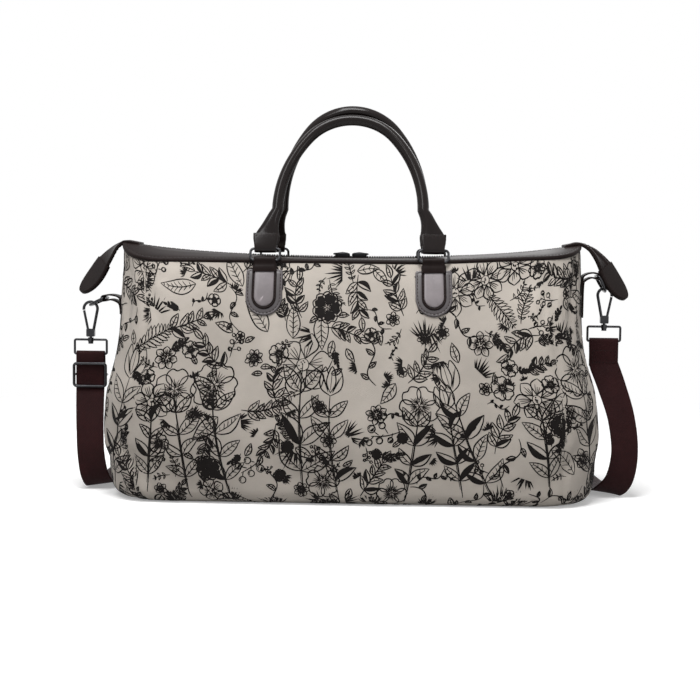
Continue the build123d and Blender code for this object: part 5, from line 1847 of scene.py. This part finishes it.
class BAG_OT_strap(bpy.types.Operator):
    """Make the webbing shoulder strap, from its slide round the back to its sewn end"""

    bl_idname = "bag.shoulder_strap"
    bl_label = "Shoulder strap"

    def execute(self, context):
        left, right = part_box("left_strap_ring"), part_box("right_strap_ring")
        left_x, right_x = (left[0].x + left[1].x) / 2, (right[0].x + right[1].x) / 2
        left_bar, right_bar = left[0].z + 1.2 * MM, right[0].z + 1.2 * MM
        slide_low, slide_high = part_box("strap_slide")
        slide_z = (slide_low.z + slide_high.z) / 2
        side = Vector((1, 0, 0))
        path, across = [], []

        def put(x, y, z, width):
            path.append(Vector((x, y, z)))
            across.append(unit(Vector(width)))

        slide_bar = 1.8 * MM
        wrap = 2.4 * MM
        for rise in (9, 6, 3):
            put(left_x, slide_bar - wrap, slide_z + rise * MM, side)
        for i in range(9):
            angle = math.pi + math.pi * i / 8
            put(left_x, slide_bar + wrap * math.cos(angle), slide_z + wrap * math.sin(angle), side)
        for share in (0.3, 0.6, 0.9):
            y, z = linear_blend(slide_bar + wrap, LAYER, share), linear_blend(slide_z, left_bar, share)
            put(left_x, y, z, side)
        for i in range(9):
            angle = math.pi * i / 8
            put(left_x, LAYER * math.cos(angle), left_bar + LAYER * math.sin(angle), side)
        left_top = slide_z - 14 * MM
        for share in (0.2, 0.5, 0.8):
            put(left_x, -LAYER, linear_blend(left_bar, left_top, share), side)
        first = len(path)
        put(left_x, -LAYER, left_top, side)
        for origin, rows in ((left_x, LEFT_ROUTE), (0.0, MIDDLE_ROUTE), (right_x, RIGHT_ROUTE)):
            for (x, y, z), width in rows:
                put(origin + x * MM, y * MM, z * MM, width)
        right_top = right_bar - 24 * MM
        put(right_x, -LAYER, right_top, -side)
        last = len(path) - 1
        path, across = self.smooth(path, across, first, last)
        for share in (0.3, 0.6, 0.9):
            path.append(Vector((right_x, -LAYER, linear_blend(right_top, right_bar, share))))
        for i in range(9):
            angle = math.pi - math.pi * i / 8
            path.append(Vector((right_x, LAYER * math.cos(angle), right_bar + LAYER * math.sin(angle))))
        for y, drop in ((1.7, 4), (0.1, 9), (-0.8, 14), (-0.86, 19), (-0.86, 26)):
            path.append(Vector((right_x, y * MM, right_bar - drop * MM)))
        across += [-side] * (len(path) - len(across))
        strap = Draft()
        profile = band_profile(STRAP_WIDTH, STRAP_THICKNESS, rows=16, relief=webbing_relief)
        sweep(strap, path, across, [profile] * len(path))
        made = make_piece(strap, "webbing_strap", "root", "webbing", 60)
        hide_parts("shoulder_strap")
        threads = Draft()
        self.sew_box(threads, right_x, right_bar)
        make_piece(threads, "strap_stitching", "root", "thread")
        return {"FINISHED"}

    def smooth(self, path, across, first, last):
        """Fine points along the free stretch, with its width turning evenly."""
        middle = curve_through(path[first:last + 1], 9)
        turned = []
        for i in range(len(middle)):
            row = first + min(i / 9, last - first)
            low = int(row)
            turned.append(across[low].lerp(across[min(low + 1, last)], row - low))
        return path[:first] + middle, across[:first] + turned

    def sew_box(self, threads, x, bar):
        """Adds the sewn box that holds the folded end."""
        for y, way in ((-3.35 * MM, -1), (0.0, 1)):
            corners = [(-12, -10), (12, -10), (12, -22), (-12, -22), (-12, -10)]
            row = [Vector((x + a * MM, y, bar + b * MM)) for a, b in corners]
            stitch_row(threads, row, [Vector((0, way, 0))] * len(row), gap=1.0 * MM)


METAL_NODES = ("ring", "hook", "gate", "strap_slide")


class BAG_OT_hardware(bpy.types.Operator):
    """Finish the metal nodes of the frame with plated metal and softened edges"""

    bl_idname = "bag.hardware"
    bl_label = "Hardware"

    def execute(self, context):
        for name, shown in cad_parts.items():
            if name == "base_board":
                self.finish(shown, "edge_paint")
            elif name.endswith(METAL_NODES):
                self.finish(shown, "gunmetal", 0.25 * MM)
        return {"FINISHED"}

    def finish(self, shown, material, edge=0.0):
        """Gives a node of the frame one material and, where asked, rounded edges."""
        shown.data.materials.clear()
        shown.data.materials.append(bpy.data.materials[FINISH + material])
        if edge:
            weld = shown.modifiers.new("joined", "WELD")
            weld.merge_threshold = 0.002 * MM
            rounded = shown.modifiers.new("edges", "BEVEL")
            rounded.width = edge
            rounded.segments = 2
            rounded.limit_method = "ANGLE"
            rounded.angle_limit = math.radians(40)


# Lamps: name, place in metres, side of the square in metres and power in watts
LAMPS = (
    ("key", (-0.7, -1.3, 1.9), 0.7, 11),
    ("fill", (1.4, -1.3, 0.8), 0.5, 3),
    ("top", (-0.1, -0.5, 2.0), 0.9, 35),
    ("back", (0.4, 1.8, 1.2), 0.9, 6),
)
WORLD_LIGHT = 0.22
FLOOR_REACH = 4.0
FLOOR_FADE = (0.55, 1.1)
FLOOR_GLOW = 0.3
PAPER_SEEN, PAPER_LIGHT = (0.88, 0.88, 0.88), (0.42, 0.42, 0.42)


class BAG_OT_stage(bpy.types.Operator):
    """Set up the floor, the white surroundings, the lamps and the camera"""

    bl_idname = "bag.stage"
    bl_label = "Stage"

    def execute(self, context):
        self.add_floor()
        self.set_world(context.scene)
        middle = Vector((0, 0, 0.17))
        for name, place, size, power in LAMPS:
            self.add_lamp(name, Vector(place), middle, size, power)
        self.add_camera(context.scene)
        context.scene.view_settings.view_transform = "Standard"
        return {"FINISHED"}

    def add_floor(self):
        """Pale floor that keeps the bag's shadow and fades into the white surroundings."""
        mesh = bpy.data.meshes.new("floor")
        ways = ((-1, -1), (1, -1), (1, 1), (-1, 1))
        corners = [(x * FLOOR_REACH, y * FLOOR_REACH, -0.2 * MM) for x, y in ways]
        mesh.from_pydata(corners, [], [(0, 1, 2, 3)])
        floor = bpy.data.objects.new("floor", mesh)
        bpy.context.scene.collection.objects.link(floor)
        material = bpy.data.materials.new("floor_paper")
        material.use_nodes = True
        tree = material.node_tree
        tree.nodes.clear()
        paper = colour_mix(tree, self.seen_directly(tree), PAPER_LIGHT, PAPER_SEEN)
        diffuse = tree.nodes.new("ShaderNodeBsdfDiffuse")
        tree.links.new(paper, diffuse.inputs["Color"])
        glow = node(tree, "ShaderNodeEmission", inputs={"Color": (1, 1, 1, 1)})
        clear = tree.nodes.new("ShaderNodeBsdfTransparent")
        both = tree.nodes.new("ShaderNodeAddShader")
        faded = tree.nodes.new("ShaderNodeMixShader")
        end = tree.nodes.new("ShaderNodeOutputMaterial")
        glow_level = math_node(tree, "MULTIPLY", self.seen_directly(tree), FLOOR_GLOW)
        tree.links.new(glow_level, glow.inputs["Strength"])
        near, far = FLOOR_FADE
        place = tree.nodes.new("ShaderNodeTexCoord")
        distance = node(tree, "ShaderNodeVectorMath", operation="LENGTH")
        tree.links.new(place.outputs["Object"], distance.inputs[0])
        fade = node(tree, "ShaderNodeMapRange", inputs={"From Min": near, "From Max": far})
        tree.links.new(distance.outputs["Value"], fade.inputs["Value"])
        tree.links.new(diffuse.outputs[0], both.inputs[0])
        tree.links.new(glow.outputs[0], both.inputs[1])
        tree.links.new(fade.outputs[0], faded.inputs[0])
        tree.links.new(both.outputs[0], faded.inputs[1])
        tree.links.new(clear.outputs[0], faded.inputs[2])
        tree.links.new(faded.outputs[0], end.inputs["Surface"])
        mesh.materials.append(material)

    def seen_directly(self, tree):
        """1 for rays from the camera, from gloss and through glass, and 0 for the others."""
        rays = tree.nodes.new("ShaderNodeLightPath")
        seen = math_node(tree, "MAXIMUM", rays.outputs["Is Camera Ray"], rays.outputs["Is Glossy Ray"])
        return math_node(tree, "MAXIMUM", seen, rays.outputs["Is Transmission Ray"])

    def set_world(self, scene):
        """Even surroundings that look white to the camera and in reflections."""
        world = bpy.data.worlds.new("surroundings")
        scene.world = world
        world.use_nodes = True
        tree = world.node_tree
        seen = self.seen_directly(tree)
        strength = math_node(tree, "ADD", math_node(tree, "MULTIPLY", seen, 1 - WORLD_LIGHT), WORLD_LIGHT)
        tree.links.new(strength, tree.nodes["Background"].inputs["Strength"])
        tree.nodes["Background"].inputs["Color"].default_value = (1, 1, 1, 1)

    def add_lamp(self, name, place, target, size, power):
        """Soft square lamp that looks at a place."""
        light = bpy.data.lights.new(name, "AREA")
        light.size = size
        light.energy = power
        lamp = bpy.data.objects.new(name, light)
        lamp.location = place
        lamp.rotation_euler = (target - place).to_track_quat("-Z", "Y").to_euler()
        bpy.context.scene.collection.objects.link(lamp)

    def add_camera(self, scene):
        """Camera at the height of the mouth, a little to the right, looking slightly down."""
        stage = scene.bag_stage
        camera = bpy.data.objects.new("camera", bpy.data.cameras.new("camera"))
        camera.data.lens = stage.lens
        camera.data.sensor_width = 36
        camera.data.shift_x = stage.sideways
        turn = Matrix.Rotation(stage.camera_azimuth, 4, "Z")
        place = Matrix.Translation((0, -stage.camera_distance, stage.camera_height))
        pitch = Matrix.Rotation(math.pi / 2 - stage.camera_pitch, 4, "X")
        roll = Matrix.Rotation(stage.camera_roll, 4, "Z")
        camera.matrix_world = turn @ place @ pitch @ roll
        scene.collection.objects.link(camera)
        scene.camera = camera


OPERATORS = (
    BAG_OT_finishes, BAG_OT_stage, BAG_OT_fabric_body, BAG_OT_fabric_print, BAG_OT_mouth,
    BAG_OT_zip, BAG_OT_sliders, BAG_OT_patches, BAG_OT_handles, BAG_OT_tails, BAG_OT_end_tabs,
    BAG_OT_strap, BAG_OT_hardware,
)


class BAG_PT_dresser(bpy.types.Panel):
    """Sizes, colours and steps of the bag"""

    bl_idname = "BAG_PT_dresser"
    bl_label = "Gym Bag"
    bl_space_type = "VIEW_3D"
    bl_region_type = "UI"
    bl_category = "Gym Bag"

    def draw(self, context):
        for group in (context.scene.bag_sizes, context.scene.bag_colours, context.scene.bag_stage):
            box = self.layout.box()
            for name in group.bl_rna.properties.keys():
                if name not in ("rna_type", "name"):
                    box.prop(group, name)
        for operator in OPERATORS:
            self.layout.operator(operator.bl_idname)


CLASSES = (BagColours, BagSizes, StageSettings, *OPERATORS, BAG_PT_dresser)


def register():
    for kind in CLASSES:
        bpy.utils.register_class(kind)
    bpy.types.Scene.bag_colours = PointerProperty(type=BagColours)
    bpy.types.Scene.bag_sizes = PointerProperty(type=BagSizes)
    bpy.types.Scene.bag_stage = PointerProperty(type=StageSettings)


def unregister():
    del bpy.types.Scene.bag_stage
    del bpy.types.Scene.bag_sizes
    del bpy.types.Scene.bag_colours
    for kind in reversed(CLASSES):
        bpy.utils.unregister_class(kind)


def main():
    register()
    for operator in OPERATORS:
        group, name = operator.bl_idname.split(".")
        getattr(getattr(bpy.ops, group), name)()


if __name__ == "__main__":
    main()
